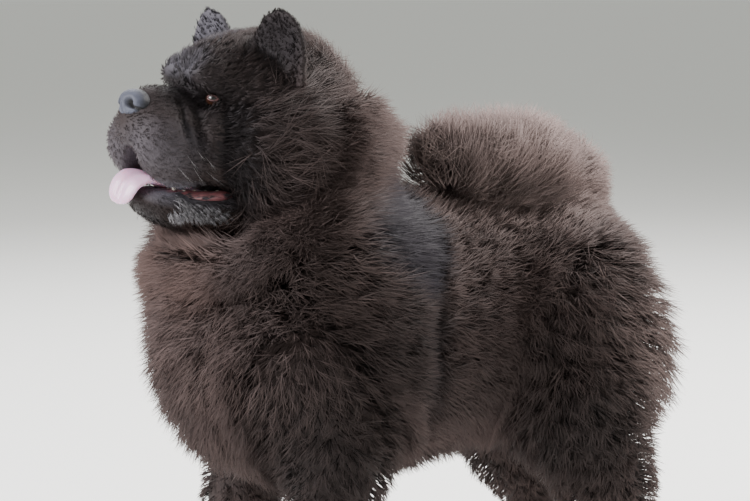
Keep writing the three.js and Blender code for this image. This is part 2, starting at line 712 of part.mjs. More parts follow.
// Claws: short cones from inside each toe, curving down and forwards
const CLAW = { long: 14, drop: 9, thick: 3.6, height: 13 };
function claw([x, y], out, side) {
  const geometry = closedGrid(3, 4, (u, v) => {
    const angle = v * 2 * Math.PI;
    const round = CLAW.thick * (u === 0 || u === 1 ? 0 : 1 - 0.55 * u);
    const ahead = y - toeAhead(out) - 12 - CLAW.long * u;
    const across = side * (x + out * (1 + 0.1 * u)) + round * Math.sin(angle);
    return [across, ahead, CLAW.height - CLAW.drop * u * u + round * Math.cos(angle)];
  });
  return solidFrom(geometry);
}

// Paws, which have no locks
for (const [name, side] of SIDES)
  for (const [leg, flesh, at] of [["fore", inForeFoot, FORE_FOOT_AT], ["hind", inHindFoot, HIND_FOOT_AT]]) {
    let paw = wrap(footForm(flesh, side * at[0], at[1])).subtract(floor);
    paw = part(paw, [-FAR, -FAR, UNDER_FLOOR], [FAR, FAR, FOOT_TOP])[0];
    paw = wasm.Manifold.union([paw, ...TOES.map((out) => claw(at, out, side))]);
    for (const other of taken) paw = paw.subtract(other);
    place(`${leg}_paw_${name}`, paw, COAT);
  }

// The origin goes on the floor, under the middle of the whole
const bounds = new THREE.Box3().setFromObject(model);
const middle = bounds.getCenter(new THREE.Vector3());
model.position.set(-middle.x, -middle.y, -bounds.min.z);

export default model;
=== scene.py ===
"""A standing chow chow: one skin, a long coat of tufts over it, and its face, mouth, eyes and claws."""
import math

import bmesh
import bpy
import numpy as np
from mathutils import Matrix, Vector


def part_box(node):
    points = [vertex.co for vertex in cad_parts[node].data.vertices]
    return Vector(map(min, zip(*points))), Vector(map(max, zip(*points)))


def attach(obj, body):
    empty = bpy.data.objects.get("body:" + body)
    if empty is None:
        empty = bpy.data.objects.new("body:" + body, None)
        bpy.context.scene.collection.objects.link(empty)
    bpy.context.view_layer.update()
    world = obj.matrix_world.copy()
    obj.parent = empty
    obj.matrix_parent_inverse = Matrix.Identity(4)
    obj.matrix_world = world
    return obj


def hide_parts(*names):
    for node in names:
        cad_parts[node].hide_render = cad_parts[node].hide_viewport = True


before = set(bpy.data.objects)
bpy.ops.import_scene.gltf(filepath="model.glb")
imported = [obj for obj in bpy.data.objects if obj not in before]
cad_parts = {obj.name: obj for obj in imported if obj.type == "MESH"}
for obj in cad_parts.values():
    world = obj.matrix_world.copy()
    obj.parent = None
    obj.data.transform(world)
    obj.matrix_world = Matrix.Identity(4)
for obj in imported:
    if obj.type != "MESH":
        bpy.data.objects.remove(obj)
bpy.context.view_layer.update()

MM = 0.001
SEED = 11
LEG_OUT = 98  # half the distance between left and right legs, mm
SKIN_STEP = 4.5 * MM  # spacing of the grid that the skin is drawn from
X, Y, Z = np.eye(3)


def mix(a, b, t):
    """a at t = 0, b at t = 1."""
    return a + (b - a) * t


def clamp01(t):
    return np.clip(t, 0.0, 1.0)


def length(v):
    """Length of each row of v, kept as a column."""
    return np.linalg.norm(v, axis=-1, keepdims=True)


def unit(v):
    return v / np.maximum(length(v), 1e-9)


def soft_join(a, b, soft):
    """The smaller of a and b, rounded over a width soft where they are alike, and b's share of it."""
    share = clamp01(0.5 + 0.5 * (a - b) / soft)
    return mix(a, b, share) - soft * share * (1 - share), share


def soft_cut(a, b, soft):
    """What is left of a once b is taken out of it, with an edge rounded over a width soft."""
    return -soft_join(-a, b, soft)[0]


HEAD_AT = np.array([0, -186, 636]) * MM
PITCH = math.radians(12)
TURN = math.radians(-6)
FORWARD = np.array([-math.sin(TURN) * math.cos(PITCH), -math.cos(TURN) * math.cos(PITCH), math.sin(PITCH)])
LEFT = np.array([math.cos(TURN), -math.sin(TURN), 0])
UPWARD = np.array([math.sin(TURN) * math.sin(PITCH), math.cos(TURN) * math.sin(PITCH), math.cos(PITCH)])
HEAD_AXES = np.array([FORWARD, LEFT, UPWARD])


def from_head(q):
    """Head places (forward, left, up) from the middle of the skull, as places in the body's frame."""
    return HEAD_AT + np.asarray(q) @ HEAD_AXES


def to_head(p):
    return (p - HEAD_AT) @ HEAD_AXES.T


def mm(*values):
    return np.array(values, float) * MM


def egg(at, half, coat, paired=False):
    """An ellipsoid of flesh with its coat's depth; a paired one is on both sides."""
    return {"at": mm(*at), "half": mm(*half), "coat": coat * MM, "paired": paired}


def limb(start, end, thick, thin, coat, paired=False):
    """A tapering rod of flesh between two places."""
    return {
        "from": mm(*start),
        "along": mm(*end) - mm(*start),
        "radii": (thick * MM, thin * MM),
        "coat": coat * MM,
        "paired": paired,
    }


def distance_to(shape, p, side):
    """How far p is outside one shape.

    For an egg it is the scaled radius less 1, against its slope, and for a limb the distance to
    its axis less its radius there.
    """
    q = p
    if shape["paired"]:
        q = p.copy()
        q[:, side] = np.abs(q[:, side])
    if "half" in shape:
        d = q - shape["at"]
        near = length(d / shape["half"])[:, 0]
        slope = length(d / shape["half"] ** 2)[:, 0]
        return near * (near - 1) / np.maximum(slope, 1e-9)
    rel = q - shape["from"]
    t = clamp01(rel @ shape["along"] / (shape["along"] @ shape["along"]))
    return length(rel - t[:, None] * shape["along"])[:, 0] - mix(*shape["radii"], t)


TRUNK = [
    egg([0, -165, 385], [104, 90, 112], 62),
    egg([0, -85, 385], [114, 170, 124], 52),
    egg([0, -95, 470], [70, 90, 42], 42),
    egg([0, 90, 392], [100, 150, 106], 52),
    egg([0, 172, 406], [98, 88, 96], 54),
    egg([84, -140, 400], [48, 72, 108], 58, True),
]
NECK = [
    limb([0, -176, 600], [0, -136, 450], 62, 92, 62),
    egg([0, -166, 640], [66, 56, 62], 66),
    egg([0, -172, 470], [94, 68, 78], 78),
    egg([44, -162, 545], [40, 52, 88], 60, True),
]
FORELEG = [
    limb([92, -180, 370], [100, -150, 276], 50, 46, 34, True),
    limb([100, -150, 276], [99, -162, 190], 42, 38, 20, True),
    limb([99, -162, 190], [LEG_OUT, -168, 104], 38, 31, 10, True),
    limb([LEG_OUT, -168, 104], [LEG_OUT, -178, 44], 29, 28, 10, True),
]
HINDLEG = [
    egg([82, 176, 352], [54, 88, 104], 52, True),
    limb([90, 165, 300], [94, 212, 205], 58, 38, 38, True),
    limb([94, 212, 205], [92, 240, 146], 38, 30, 16, True),
    limb([92, 240, 146], [92, 228, 44], 28, 27, 10, True),
]
TOES = (-26, -9, 9, 26)
FORE_FOOT_AT = (LEG_OUT, -190)
HIND_FOOT_AT = (92, 214)


def toe_ahead(out):
    """How far a toe lies in front of its foot's middle: the middle two are further forward."""
    return 26 if abs(out) > 10 else 36


def foot(x, y):
    """A pad and four toes."""
    toes = [egg([x + out, y - toe_ahead(out), 15], [12, 20, 18], 4, True) for out in TOES]
    return [egg([x, y, 22], [33, 40, 30], 5, True), *toes]


FORE_FOOT = foot(*FORE_FOOT_AT)
HIND_FOOT = foot(*HIND_FOOT_AT)
TAIL_PATH = [[0, 188, 452], [0, 216, 498], [0, 202, 538], [0, 150, 560], [0, 95, 568], [0, 42, 570]]
TAIL_COAT = [26, 50, 66, 68, 60]
TAIL_THINS = 3.5  # mm less in radius with each stretch of the tail
TAIL = [
    limb(start, end, 25 - TAIL_THINS * i, 22 - TAIL_THINS * i, coat)
    for i, (start, end, coat) in enumerate(zip(TAIL_PATH, TAIL_PATH[1:], TAIL_COAT))
]
HEAD = [
    egg([8, 0, 18], [90, 78, 66], 10),
    egg([64, 0, 24], [42, 50, 34], 8),
    egg([84, 27, 26], [29, 23, 20], 5, True),
    limb([84, 0, -30], [136, 0, -31], 42, 30, 3),
    egg([126, 0, -8], [30, 21, 13], 3),
    egg([114, 30, -53], [50, 29, 43], 3, True),
    egg([122, 0, -40], [44, 36, 30], 3),
    egg([58, 48, -42], [46, 32, 42], 7, True),
    egg([16, 60, -38], [44, 38, 60], 48, True),
]
JAW = [
    limb([26, 40, -112], [100, 18, -117], 19, 16, 8, True),
    egg([112, 0, -114], [30, 32, 17], 3),
    egg([34, 0, -116], [56, 44, 26], 16),
]
PALATE = egg([112, 0, -104], [84, 23, 50], 0)
CHANNEL = egg([74, 0, -92], [48, 24, 14], 0)
EYE_AT = mm(82, 32, 3)
EYE_RADIUS = 11 * MM
EYE_OPENING = mm(10, 10, 4.2)  # half size of the opening between the lids
LOWER_LIP = -115 * MM  # the mouth's lining ends at this height of the head
EAR_ROOT = mm(34, 65, 43)
EAR_HEIGHT = 63 * MM
EAR_WIDE = 36 * MM
EAR_DEEP = 13 * MM
EAR_THICK = 8 * MM
EAR_SPLAY = math.tan(math.radians(4))
EAR_LEAN = math.tan(math.radians(11))
EAR_FACING = {1: math.radians(22), -1: math.radians(8)}


def joined(shapes, p, side, soft):
    """Distance outside a group of shapes and the coat's depth there, each shape blended into the last."""
    d = np.full(len(p), 1.0)
    coat = np.zeros(len(p))
    for shape in shapes:
        d, share = soft_join(d, distance_to(shape, p, side), soft)
        coat = mix(coat, shape["coat"], share)
    return d, coat


def ear_places(q, side):
    """Height up the ear, and the places across it and in front of its hollow blade."""
    height = q[:, 2] - EAR_ROOT[2]
    forward = q[:, 0] - EAR_ROOT[0] - height * EAR_LEAN
    outward = q[:, 1] - side * (EAR_ROOT[1] + height * EAR_SPLAY)
    c, s = math.cos(EAR_FACING[side]), math.sin(EAR_FACING[side])
    across = -forward * s + outward * c
    rise = clamp01(height / EAR_HEIGHT)
    hollow = EAR_DEEP * (1 - (across / EAR_WIDE) ** 2) * (1 - rise**2)
    return height, rise, across, forward * c + outward * s + hollow


def ear_field(q, side):
    """An upright blade, widest low down, rounded at its tip and hollow in front."""
    height, rise, across, away = ear_places(q, side)
    half = np.maximum(EAR_WIDE * np.sqrt(1 - 0.999 * rise**3.6) * mix(1, 0.84, rise), 2 * MM)
    thick = np.maximum(EAR_THICK * np.sqrt(1 - 0.999 * rise**3), 2 * MM)
    near = np.hypot(away / thick, across / half)
    slope = np.hypot(away / thick**2, across / half**2)
    d = near * (near - 1) / np.maximum(slope, 1e-9)
    return np.maximum(np.maximum(d, height - EAR_HEIGHT), -14 * MM - height)


# Folds of the face: a line in head places, the depth and width of its crease, in mm.
FOLDS = [
    ([[114, 6, 18], [108, 20, 10], [98, 31, 3], [88, 42, -7]], 8, 8),
    ([[122, 26, -4], [126, 46, -26], [120, 57, -45], [108, 59, -66]], 6, 5),
    ([[108, 34, -8], [110, 54, -30], [102, 62, -52], [90, 62, -72]], 6, 5.5),
    ([[81, 54, 22], [80, 68, -17], [79, 77, -48], [66, 68, -78], [56, 54, -106]], 15, 10),
    ([[106, 10, 40], [98, 30, 44], [80, 48, 38]], 4, 5),
]


def near_line(line, q):
    """Distance from each q to a line of straight stretches, and how far along it that is, 0 to 1."""
    best = np.full(len(q), 1e3)
    along = np.zeros(len(q))
    steps = [np.linalg.norm(b - a) for a, b in zip(line, line[1:])]
    done = 0.0
    for a, b, step in zip(line, line[1:], steps):
        t = clamp01((q - a) @ (b - a) / step**2)
        d = length(q - a - t[:, None] * (b - a))[:, 0]
        nearer = d < best
        best = np.where(nearer, d, best)
        along = np.where(nearer, (done + t * step) / sum(steps), along)
        done += step
    return best, along


def folds(q, broad=1.0):
    """Depth of all the creases at q: each is a smooth groove that runs out at its ends."""
    mirrored = q.copy()
    mirrored[:, 1] = np.abs(q[:, 1])
    deep = np.zeros(len(q))
    for line, depth, width in FOLDS:
        d, along = near_line(np.array(line, float) * MM, mirrored)
        groove = np.exp(-((d / (width * broad * MM)) ** 2))
        deep += depth * MM * groove * np.sqrt(clamp01(4 * along * (1 - along)))
    return deep


def head_field(p):
    """Skull and muzzle less the mouth, the jaw less its channel, the ears, and the folds of the face."""
    q = to_head(p)
    skull, coat = joined(HEAD, q, 1, 16 * MM)
    skull = soft_cut(skull, distance_to(PALATE, q, 1), 5 * MM)
    jaw, jaw_coat = joined(JAW, q, 1, 12 * MM)
    jaw = soft_cut(jaw, distance_to(CHANNEL, q, 1), 4 * MM)
    d, share = soft_join(skull, jaw, 5 * MM)
    coat = mix(coat, jaw_coat, share)
    for side in (1, -1):
        d, share = soft_join(d, ear_field(q, side), 9 * MM)
        coat = mix(coat, 3.5 * MM, share)
        socket = q - EYE_AT * [1, side, 1]
        lids = length((socket - mm(9, side * 7, 0)) / EYE_OPENING)[:, 0] - 1
        d = soft_cut(d, lids * EYE_OPENING[2], 3 * MM)
    return d + folds(q), coat


def group(name, shapes, soft, join, line):
    """A named part: its shapes, how softly it joins the rest, and the line it is unwrapped round."""
    line = np.array(line, float) * MM
    return {"name": name, "shapes": shapes, "soft": soft * MM, "join": join * MM, "line": line}


HEAD_LINE = [from_head(mm(*q)) / MM for q in ([-60, 0, 0], [50, 0, -6], [150, 0, -40])]
GROUPS = [
    group("trunk", TRUNK, 40, 40, [[0, -250, 385], [0, -40, 385], [0, 80, 395], [0, 250, 400]]),
    group("mane", NECK, 40, 40, [[0, -165, 400], [0, -168, 520], [0, -172, 700]]),
    group("foreleg", FORELEG, 22, 30, [[96, -170, 360], [98, -158, 200], [97, -176, 70]]),
    group("hindleg", HINDLEG, 26, 34, [[88, 172, 400], [92, 205, 215], [92, 238, 146], [92, 228, 70]]),
    group("forepaw", FORE_FOOT, 7, 10, [[97, -176, 80], [97, -206, 0]]),
    group("hindpaw", HIND_FOOT, 7, 10, [[92, 228, 80], [92, 200, 0]]),
    group("tail", TAIL, 16, 22, TAIL_PATH),
    group("head", None, 16, 22, HEAD_LINE),
]
REACH = 140 * MM  # how far round its own shapes a group is worked out


def group_field(part, p):
    return head_field(p) if part["name"] == "head" else joined(part["shapes"], p, 0, part["soft"])


def group_box(part):
    """Lowest and highest corner of the room that a group is worked out in."""
    if part["name"] == "head":
        corners = [mm(x, y, z) for x in (-100, 170) for y in (-105, 105) for z in (-140, 120)]
        corners = from_head(corners)
        return corners.min(0), corners.max(0)
    low, high = [], []
    for shape in part["shapes"]:
        if "half" in shape:
            low.append(shape["at"] - shape["half"])
            high.append(shape["at"] + shape["half"])
        else:
            ends = np.array([shape["from"], shape["from"] + shape["along"]])
            low.append(ends.min(0) - shape["radii"][0])
            high.append(ends.max(0) + shape["radii"][0])
    low, high = np.min(low, 0), np.max(high, 0)
    if part["shapes"][0]["paired"]:
        low[0] = -high[0]
    return low - REACH, high + REACH


for part in GROUPS:
    part["box"] = group_box(part)


def flesh(p):
    """Distance outside the skin and the coat's depth at p, each group being worked out only near it."""
    d = np.full(len(p), 1.0)
    coat = np.full(len(p), 10 * MM)
    for part in GROUPS:
        low, high = part["box"]
        near = np.flatnonzero(np.all((p > low) & (p < high), axis=1))
        e, own = group_field(part, p[near])
        d[near], share = soft_join(d[near], e, part["join"])
        coat[near] = mix(coat[near], own, share)
    return d, coat


def slope(p, step=1.5 * MM):
    """Distance, coat and outward direction at p, from differences over a small step."""
    here, coat = flesh(p)
    rise = np.stack([flesh(p + step * axis)[0] - here for axis in np.eye(3)], axis=1)
    return here, coat, unit(rise)


def on_skin(p, rounds=3):
    """p moved along the outward direction until it lies on the skin, never below the floor."""
    for _ in range(rounds):
        d, _, out = slope(p)
        p = p - np.clip(d, -6 * MM, 6 * MM)[:, None] * out
    p[:, 2] = np.maximum(p[:, 2], 0)
    return p


def net_surface(values, origin, step):
    """The surface where values cross zero, as points and quads.

    Each crossed cell of the grid holds a point, at the mean of the crossings on its edges, and each
    crossed edge of the grid has a quad between the points of its four cells.
    """
    inside = values < 0
    cells_across = np.array(values.shape) - 1
    corners = np.array([[i, j, k] for i in (0, 1) for j in (0, 1) for k in (0, 1)])

    def window(a, c):
        return a[tuple(slice(c[i], c[i] + cells_across[i]) for i in range(3))]

    count = sum(window(inside, c).astype(np.int8) for c in corners)
    cells = np.argwhere((count > 0) & (count < 8))
    index = np.full(cells_across, -1)
    index[tuple(cells.T)] = np.arange(len(cells))
    total = np.zeros((len(cells), 3))
    hits = np.zeros((len(cells), 1))
    for a in corners:
        for b in corners[(np.abs(corners - a).sum(1) == 1) & (corners >= a).all(1)]:
            start, end = values[tuple((cells + a).T)], values[tuple((cells + b).T)]
            crossed = (start < 0) != (end < 0)
            t = np.where(crossed, start / np.where(crossed, start - end, 1), 0)
            total += np.where(crossed[:, None], a + t[:, None] * (b - a), 0)
            hits += crossed[:, None]
    points = origin + (cells + total / hits) * step
    quads = []
    for axis in range(3):
        one, two = (axis + 1) % 3, (axis + 2) % 3
        ahead = np.eye(3, dtype=int)
        low = [slice(1, n) for n in cells_across]
        low[axis] = slice(0, cells_across[axis])
        high = list(low)
        high[axis] = slice(1, cells_across[axis] + 1)
        first, last = inside[tuple(low)], inside[tuple(high)]
        for found, turn in ((first & ~last, 1), (~first & last, -1)):
            at = np.argwhere(found) + 1 - ahead[axis]
            ring = [at - ahead[one] - ahead[two], at - ahead[two], at, at - ahead[one]]
            quads.append(np.stack([index[tuple(c.T)] for c in ring[::turn]], axis=1))
    return points, np.concatenate(quads)


eye_boxes = [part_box(f"eye_{side}") for side in ("left", "right")]
eyes_in_frame = np.mean([np.mean([np.array(corner) for corner in box], 0) for box in eye_boxes], 0)
SHIFT = eyes_in_frame - from_head(EYE_AT * [1, 0, 1])  # from the body's own frame to the model's


def new_piece(name, points, faces, slot, nodes=()):
    """A mesh from points and faces with equal corners, riding on the body and standing for nodes."""
    mesh = bpy.data.meshes.new(name)
    faces = np.asarray(faces, np.int32)
    mesh.vertices.add(len(points))
    mesh.vertices.foreach_set("co", (np.asarray(points) + SHIFT).astype(np.float32).ravel())
    mesh.loops.add(faces.size)
    mesh.loops.foreach_set("vertex_index", faces.ravel())
    mesh.polygons.add(len(faces))
    mesh.polygons.foreach_set("loop_start", np.arange(0, faces.size, faces.shape[1], dtype=np.int32))
    mesh.polygons.foreach_set("use_smooth", np.full(len(faces), True))
    mesh.update(calc_edges=True)
    piece = bpy.data.objects.new(name, mesh)
    bpy.context.scene.collection.objects.link(piece)
    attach(piece, "root")
    if nodes:
        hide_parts(*nodes)
    return piece


def set_points(piece, name, values):
    """One number for each vertex, as a named attribute."""
    layer = piece.data.attributes.new(name, "FLOAT", "POINT")
    layer.data.foreach_set("value", np.asarray(values, np.float32))


def patch(q, mirrored, at, half):
    """1 at a place, falling smoothly to 0 at the edge of an ellipsoid round it; the same on both sides."""
    q = q.copy()
    q[:, mirrored] = np.abs(q[:, mirrored])
    near = length((q - mm(*at)) / mm(*half))[:, 0]
    return clamp01(1.4 * (1 - near)) ** 0.8


def blob(p, at, half):
    return patch(p, 0, at, half)


def head_blob(p, at, half):
    """As blob, in head places."""
    return patch(to_head(p), 1, at, half)


# Places and half sizes, in mm, of the painted shade on the ruff's side, behind the shoulder, on the flank,
# legs and thighs, under the chin and under the belly, and of the coat's paler ends with their shares:
# partly their own colour and partly painted light on the plume and breeches, painted light on the chest
# front and the top of the mane.
PAINTED_SHADE = [
    ([135, -240, 490], [75, 80, 120]),
    ([160, -110, 400], [80, 110, 120]),
    ([150, 30, 350], [95, 160, 120]),
    ([125, -180, 270], [95, 110, 160]),
    ([20, -285, 525], [110, 90, 60]),
    ([140, 140, 270], [90, 110, 120]),
    ([0, 20, 250], [130, 240, 60]),
]
PALE_AND_LIT = [
    ([0, 120, 545], [120, 180, 100], 0.95),
    ([150, 245, 370], [90, 95, 160], 0.75),
    ([10, -335, 425], [95, 70, 100], 0.95),
    ([0, -90, 640], [120, 80, 100], 0.4),
]


def crease(p):
    """Share of the deep parting between the ruff and the body, down behind the shoulder, where the coat is
    shorter and painted shade darkens it.
    """
    return blob(p, [140, -72, 400], [90, 26, 120])


def markings(p):
    """Shares of each colour at p.

    The slate saddle, the rufous throat, the silvery hairs of the lips and ear fronts with painted sheen on
    the muzzle, the black face and lips with painted shade in the folds and in the parting behind the
    shoulder, painted shade on the sides, legs, throat and belly, and the paler ends of the coat: partly
    their own colour and partly painted light on the plume and breeches, painted light on the chest front
    and the top of the mane.
    """
    q = to_head(p)
    ear_front = clamp01((q[:, 2] - 52 * MM) / (12 * MM)) * clamp01((q[:, 0] - 30 * MM) / (12 * MM))
    return {
        "slate": clamp01(2.4 * blob(p, [88, -88, 514], [86, 72, 84])),
        "rufous": blob(p, [50, -295, 482], [85, 70, 75]),
        "grey_and_sheen": np.maximum.reduce([
            0.8 * head_blob(p, [104, 32, -101], [64, 38, 18]),
            # painted sheen on the muzzle
            0.4 * head_blob(p, [138, 30, -62], [52, 54, 40]),
            ear_front * np.where(q[:, 1] < 0, 0.6, 0),
            0.6 * head_blob(p, [112, 16, 40], [22, 26, 22]),
        ]),
        "black": np.maximum.reduce([
            head_blob(p, [88, 0, -12], [140, 125, 150]),
            head_blob(p, [40, 66, 74], [75, 75, 75]),
            head_blob(p, [112, 0, -122], [52, 50, 34]),
            # painted shade in the creases of the face's folds and in the parting behind the shoulder
            clamp01(folds(q, 1.5) / (6 * MM)),
            0.9 * crease(p),
        ]),
        # painted shade on the ruff's side, behind the shoulder, on the flank, legs and thighs, under the
        # chin and under the belly
        "shade": np.maximum.reduce([0.9 * blob(p, at, half) for at, half in PAINTED_SHADE]),
        # paler tips: partly their own colour and partly painted light on the plume and breeches, painted
        # light on the chest front and the top of the mane
        "pale": np.maximum.reduce([most * blob(p, at, half) for at, half, most in PALE_AND_LIT]),
    }


FINER_IN_FRONT = (-40 * MM, 30 * MM)  # the net is halved in front of each of these places of the head
FINER_ABOVE = 0.49  # and above this height


def skin_mesh():
    """The whole skin as one closed surface: a net on a grid, cut finer on the head, set on the skin."""
    low = np.min([part["box"][0] for part in GROUPS], 0) + 0.75 * REACH
    high = np.max([part["box"][1] for part in GROUPS], 0) - 0.75 * REACH
    low[2] = -3 * SKIN_STEP
    high[2] = max(high[2], from_head(mm(40, 0, 130))[2])
    low[1] = min(low[1], from_head(mm(190, 0, -60))[1])
    axes = [np.arange(a, b, SKIN_STEP) for a, b in zip(low, high)]
    shape = [len(a) for a in axes]
    grid = np.stack(np.meshgrid(*axes, indexing="ij"), axis=-1).reshape(-1, 3)
    values = np.maximum(flesh(grid)[0], -grid[:, 2]).reshape(shape)
    points, quads = net_surface(values, low, SKIN_STEP)
    mesh = bpy.data.meshes.new("skin_draft")
    mesh.from_pydata(points.tolist(), [], quads.tolist())
    shaped = bmesh.new()
    shaped.from_mesh(mesh)
    bpy.data.meshes.remove(mesh)
    for front in FINER_IN_FRONT:
        on_face = [to_head(np.array([v.co[:] for v in e.verts]))[:, 0].min() > front for e in shaped.edges]
        high_up = [min(v.co.z for v in e.verts) > FINER_ABOVE for e in shaped.edges]
        cut = [e for e, face, high_enough in zip(shaped.edges, on_face, high_up) if face and high_enough]
        bmesh.ops.subdivide_edges(shaped, edges=cut, cuts=1, use_grid_fill=True)
    bmesh.ops.triangulate(shaped, faces=shaped.faces)
    points = np.array([v.co[:] for v in shaped.verts])
    faces = np.array([[v.index for v in f.verts] for f in shaped.faces])
    shaped.free()
    return on_skin(points), faces


def unwrap(part, p):
    """Places on the part's own unwrap: how far along its line, and the angle round it, both 0 to 1."""
    line = part["line"]
    q = p.copy()
    paired = part["name"] in ("foreleg", "hindleg", "forepaw", "hindpaw")
    if paired:
        q[:, 0] = np.abs(q[:, 0])
    _, along = near_line(line, q)
    steps = np.concatenate([[0], np.cumsum(length(np.diff(line, axis=0))[:, 0])])
    on_line = np.stack([np.interp(along * steps[-1], steps, line[:, k]) for k in range(3)], axis=1)
    ahead = unit((line[-1] - line[0])[None])[0]
    over = np.cross(ahead, X)
    rel = q - on_line
    around = np.arctan2(rel @ X, rel @ over) / (2 * math.pi) + 0.5
    if paired:
        around = 0.5 * around + np.where(p[:, 0] > 0, 0.5, 0)
    return along, around


# Where each part's unwrap lies in the map: left, bottom, width and height.
TILES = {
    "trunk": (0.0, 0.0, 0.5, 0.5),
    "mane": (0.5, 0.0, 0.5, 0.36),
    "foreleg": (0.5, 0.36, 0.25, 0.3),
    "hindleg": (0.75, 0.36, 0.25, 0.3),
    "forepaw": (0.5, 0.66, 0.12, 0.2),
    "hindpaw": (0.62, 0.66, 0.12, 0.2),
    "tail": (0.0, 0.5, 0.5, 0.22),
    "head": (0.0, 0.72, 0.5, 0.28),
}
PATCH = 0.003  # size in the map of the patch that holds one tuft

# For each part's coat: tufts, their width in mm, length against the coat's depth, least share of the
# depth that the tips reach, how far the middle stands off, how much fuller it is behind and in
# front, and its finish and nodes.
COAT_VALUES = ("tufts", "wide", "reach", "least", "bow", "fuller", "slot", "nodes")
COATS = {
    name: dict(zip(COAT_VALUES, values))
    for name, *values in (
        ("trunk", 25000, 1.9, 0.36, 0.7, 1.0, (0.16, 0.1), "coat_fur", ["torso"]),
        ("mane", 18500, 1.9, 0.32, 0.7, 1.0, (0.5, 0.14), "ruff_fur", ["neck"]),
        ("foreleg", 5000, 1.6, 0.6, 0.65, 0.8, (0, 0), "coat_fur", []),
        ("hindleg", 8500, 1.8, 0.5, 0.65, 0.9, (0.14, 0), "coat_fur", []),
        ("forepaw", 1500, 1.5, 2.2, 0.7, 0.8, (0, 0), "foot_fur", []),
        ("hindpaw", 1500, 1.5, 2.2, 0.7, 0.8, (0, 0), "foot_fur", []),
        ("tail", 9500, 1.8, 0.3, 0.6, 0.8, (0, 0), "plume_fur", ["tail"]),
        ("head", 13500, 1.3, 1.7, 0.6, 0.7, (0, 0), "face_fur", ["head"]),
    )
}
LIE_WAVES = 45 * MM  # size of the broad waves in the coat's lie
LIE_CLUMPS = 12 * MM  # size of the clumps that lean together
DEPTH_WAVES = 26 * MM  # size of the swellings in the coat's depth
TONE_WAVES = 16 * MM  # size of the lighter and darker clumps
FORM_STEP = 12 * MM  # how broadly the form under the coat is felt
NAPE_LOW, NAPE_RISE = 0.56, 0.08  # the mane is full behind only above this height, over this rise
WAVE_LEAN, CLUMP_LEAN, OWN_LEAN = 0.4, 0.45, 0.35  # how far each of them strays from the lie
PLUME_HEART = mm(0, 95, 490)  # the tail's hairs spread from here


def lie_on_head(p):
    """Back from the nose, up over the brow, down the jaw, up the ears, and outwards on the cheeks."""
    q = to_head(p)
    way = np.zeros_like(q)
    way[:, 0] = -1
    way[:, 1] = 0.35 * np.sign(q[:, 1])
    way[:, 2] = 0.25 + 6 * q[:, 2]
    on_ear = clamp01((q[:, 2] - EAR_ROOT[2]) / (20 * MM))[:, None]
    way = mix(way, np.array([0.1, 0, 1.0]), on_ear)
    return unit(way @ HEAD_AXES)


def lie_of(name, p):
    """Which way the coat lies at p on one part."""
    side = np.sign(p[:, :1])
    if name == "head":
        return lie_on_head(p)
    if name == "tail":
        return unit(p - PLUME_HEART) + 0.4 * side * X
    if name == "mane":
        back = clamp01((p[:, 1:2] + 0.2) / 0.06)
        return mix(-Z + 0.12 * Y, 0.75 * Y - 0.45 * Z, back)
    if name == "trunk":
        front = clamp01((-0.15 - p[:, 1:2]) / 0.08)
        return mix(0.8 * Y - 0.5 * Z, -Z + 0.1 * Y, front)
    return np.broadcast_to(-Z + 0.15 * Y, p.shape)


def waves(p, size, rng, count=5):
    """A smooth random vector at each p: a few sine waves of about the given size, in random directions."""
    out = np.zeros_like(p)
    for _ in range(count):
        ahead = unit(rng.normal(size=(1, 3)))[0] * 2 * math.pi / (size * rng.uniform(0.7, 1.5))
        out += np.sin(p @ ahead + rng.uniform(0, 2 * math.pi))[:, None] * unit(rng.normal(size=(1, 3)))
    return out / math.sqrt(count)


def parts_of(p):
    """Number of the group whose shapes lie nearest to each p."""
    near = [group_field(part, p)[0] for part in GROUPS]
    return np.argmin(near, axis=0)


def scattered(points, faces, owner, number, rng):
    """Random places on one owner's faces, as many to each as its area asks, and none under the soles."""
    corner = points[faces]
    area = 0.5 * length(np.cross(corner[:, 1] - corner[:, 0], corner[:, 2] - corner[:, 0]))[:, 0]
    area = area * (owner[faces[:, 0]] == number) * (corner[:, :, 2].mean(1) > 3 * MM)
    picked = rng.choice(len(faces), size=COATS[GROUPS[number]["name"]]["tufts"], p=area / area.sum())
    a, b = rng.random((2, len(picked), 1))
    flip = a + b > 1
    a, b = np.where(flip, 1 - a, a), np.where(flip, 1 - b, b)
    corner = corner[picked]
    return corner[:, 0] + a * (corner[:, 1] - corner[:, 0]) + b * (corner[:, 2] - corner[:, 0])


def in_mouth(q):
    """Share of wet lining at head places: near the palate and the tongue's channel, above the lower lip."""
    near = np.minimum(distance_to(PALATE, q, 1), distance_to(CHANNEL, q, 1))
    above_lip = clamp01((q[:, 2] - LOWER_LIP) / (5 * MM))
    return clamp01(1 - (near - 1 * MM) / (2 * MM)) * above_lip * (q[:, 0] > 0)


def bare_skin(p):
    """Where nothing grows: inside the mouth, on the nose's seat and in the eyes' openings."""
    q = to_head(p)
    mirrored = q.copy()
    mirrored[:, 1] = np.abs(q[:, 1])
    at_eye = length((mirrored - EYE_AT - mm(9, 4, 0)) / mm(12, 10, 5.5))[:, 0] < 1
    at_nose = length((q - NOSE_AT) / (NOSE_HALF * 1.05))[:, 0] < 1
    return ((in_mouth(q) > 0.2) | at_eye | at_nose) & (q[:, 0] > -0.02)


NOSE_AT = mm(158, 0, -17)
NOSE_HALF = mm(17, 23, 16)


# Side hairs of a blade: where they leave it, how far they spread aside and over, and their length's share.
SIDE_HAIRS = ((0.4, 0.16, 0.07, 0.95), (0.52, -0.14, -0.04, 0.85))


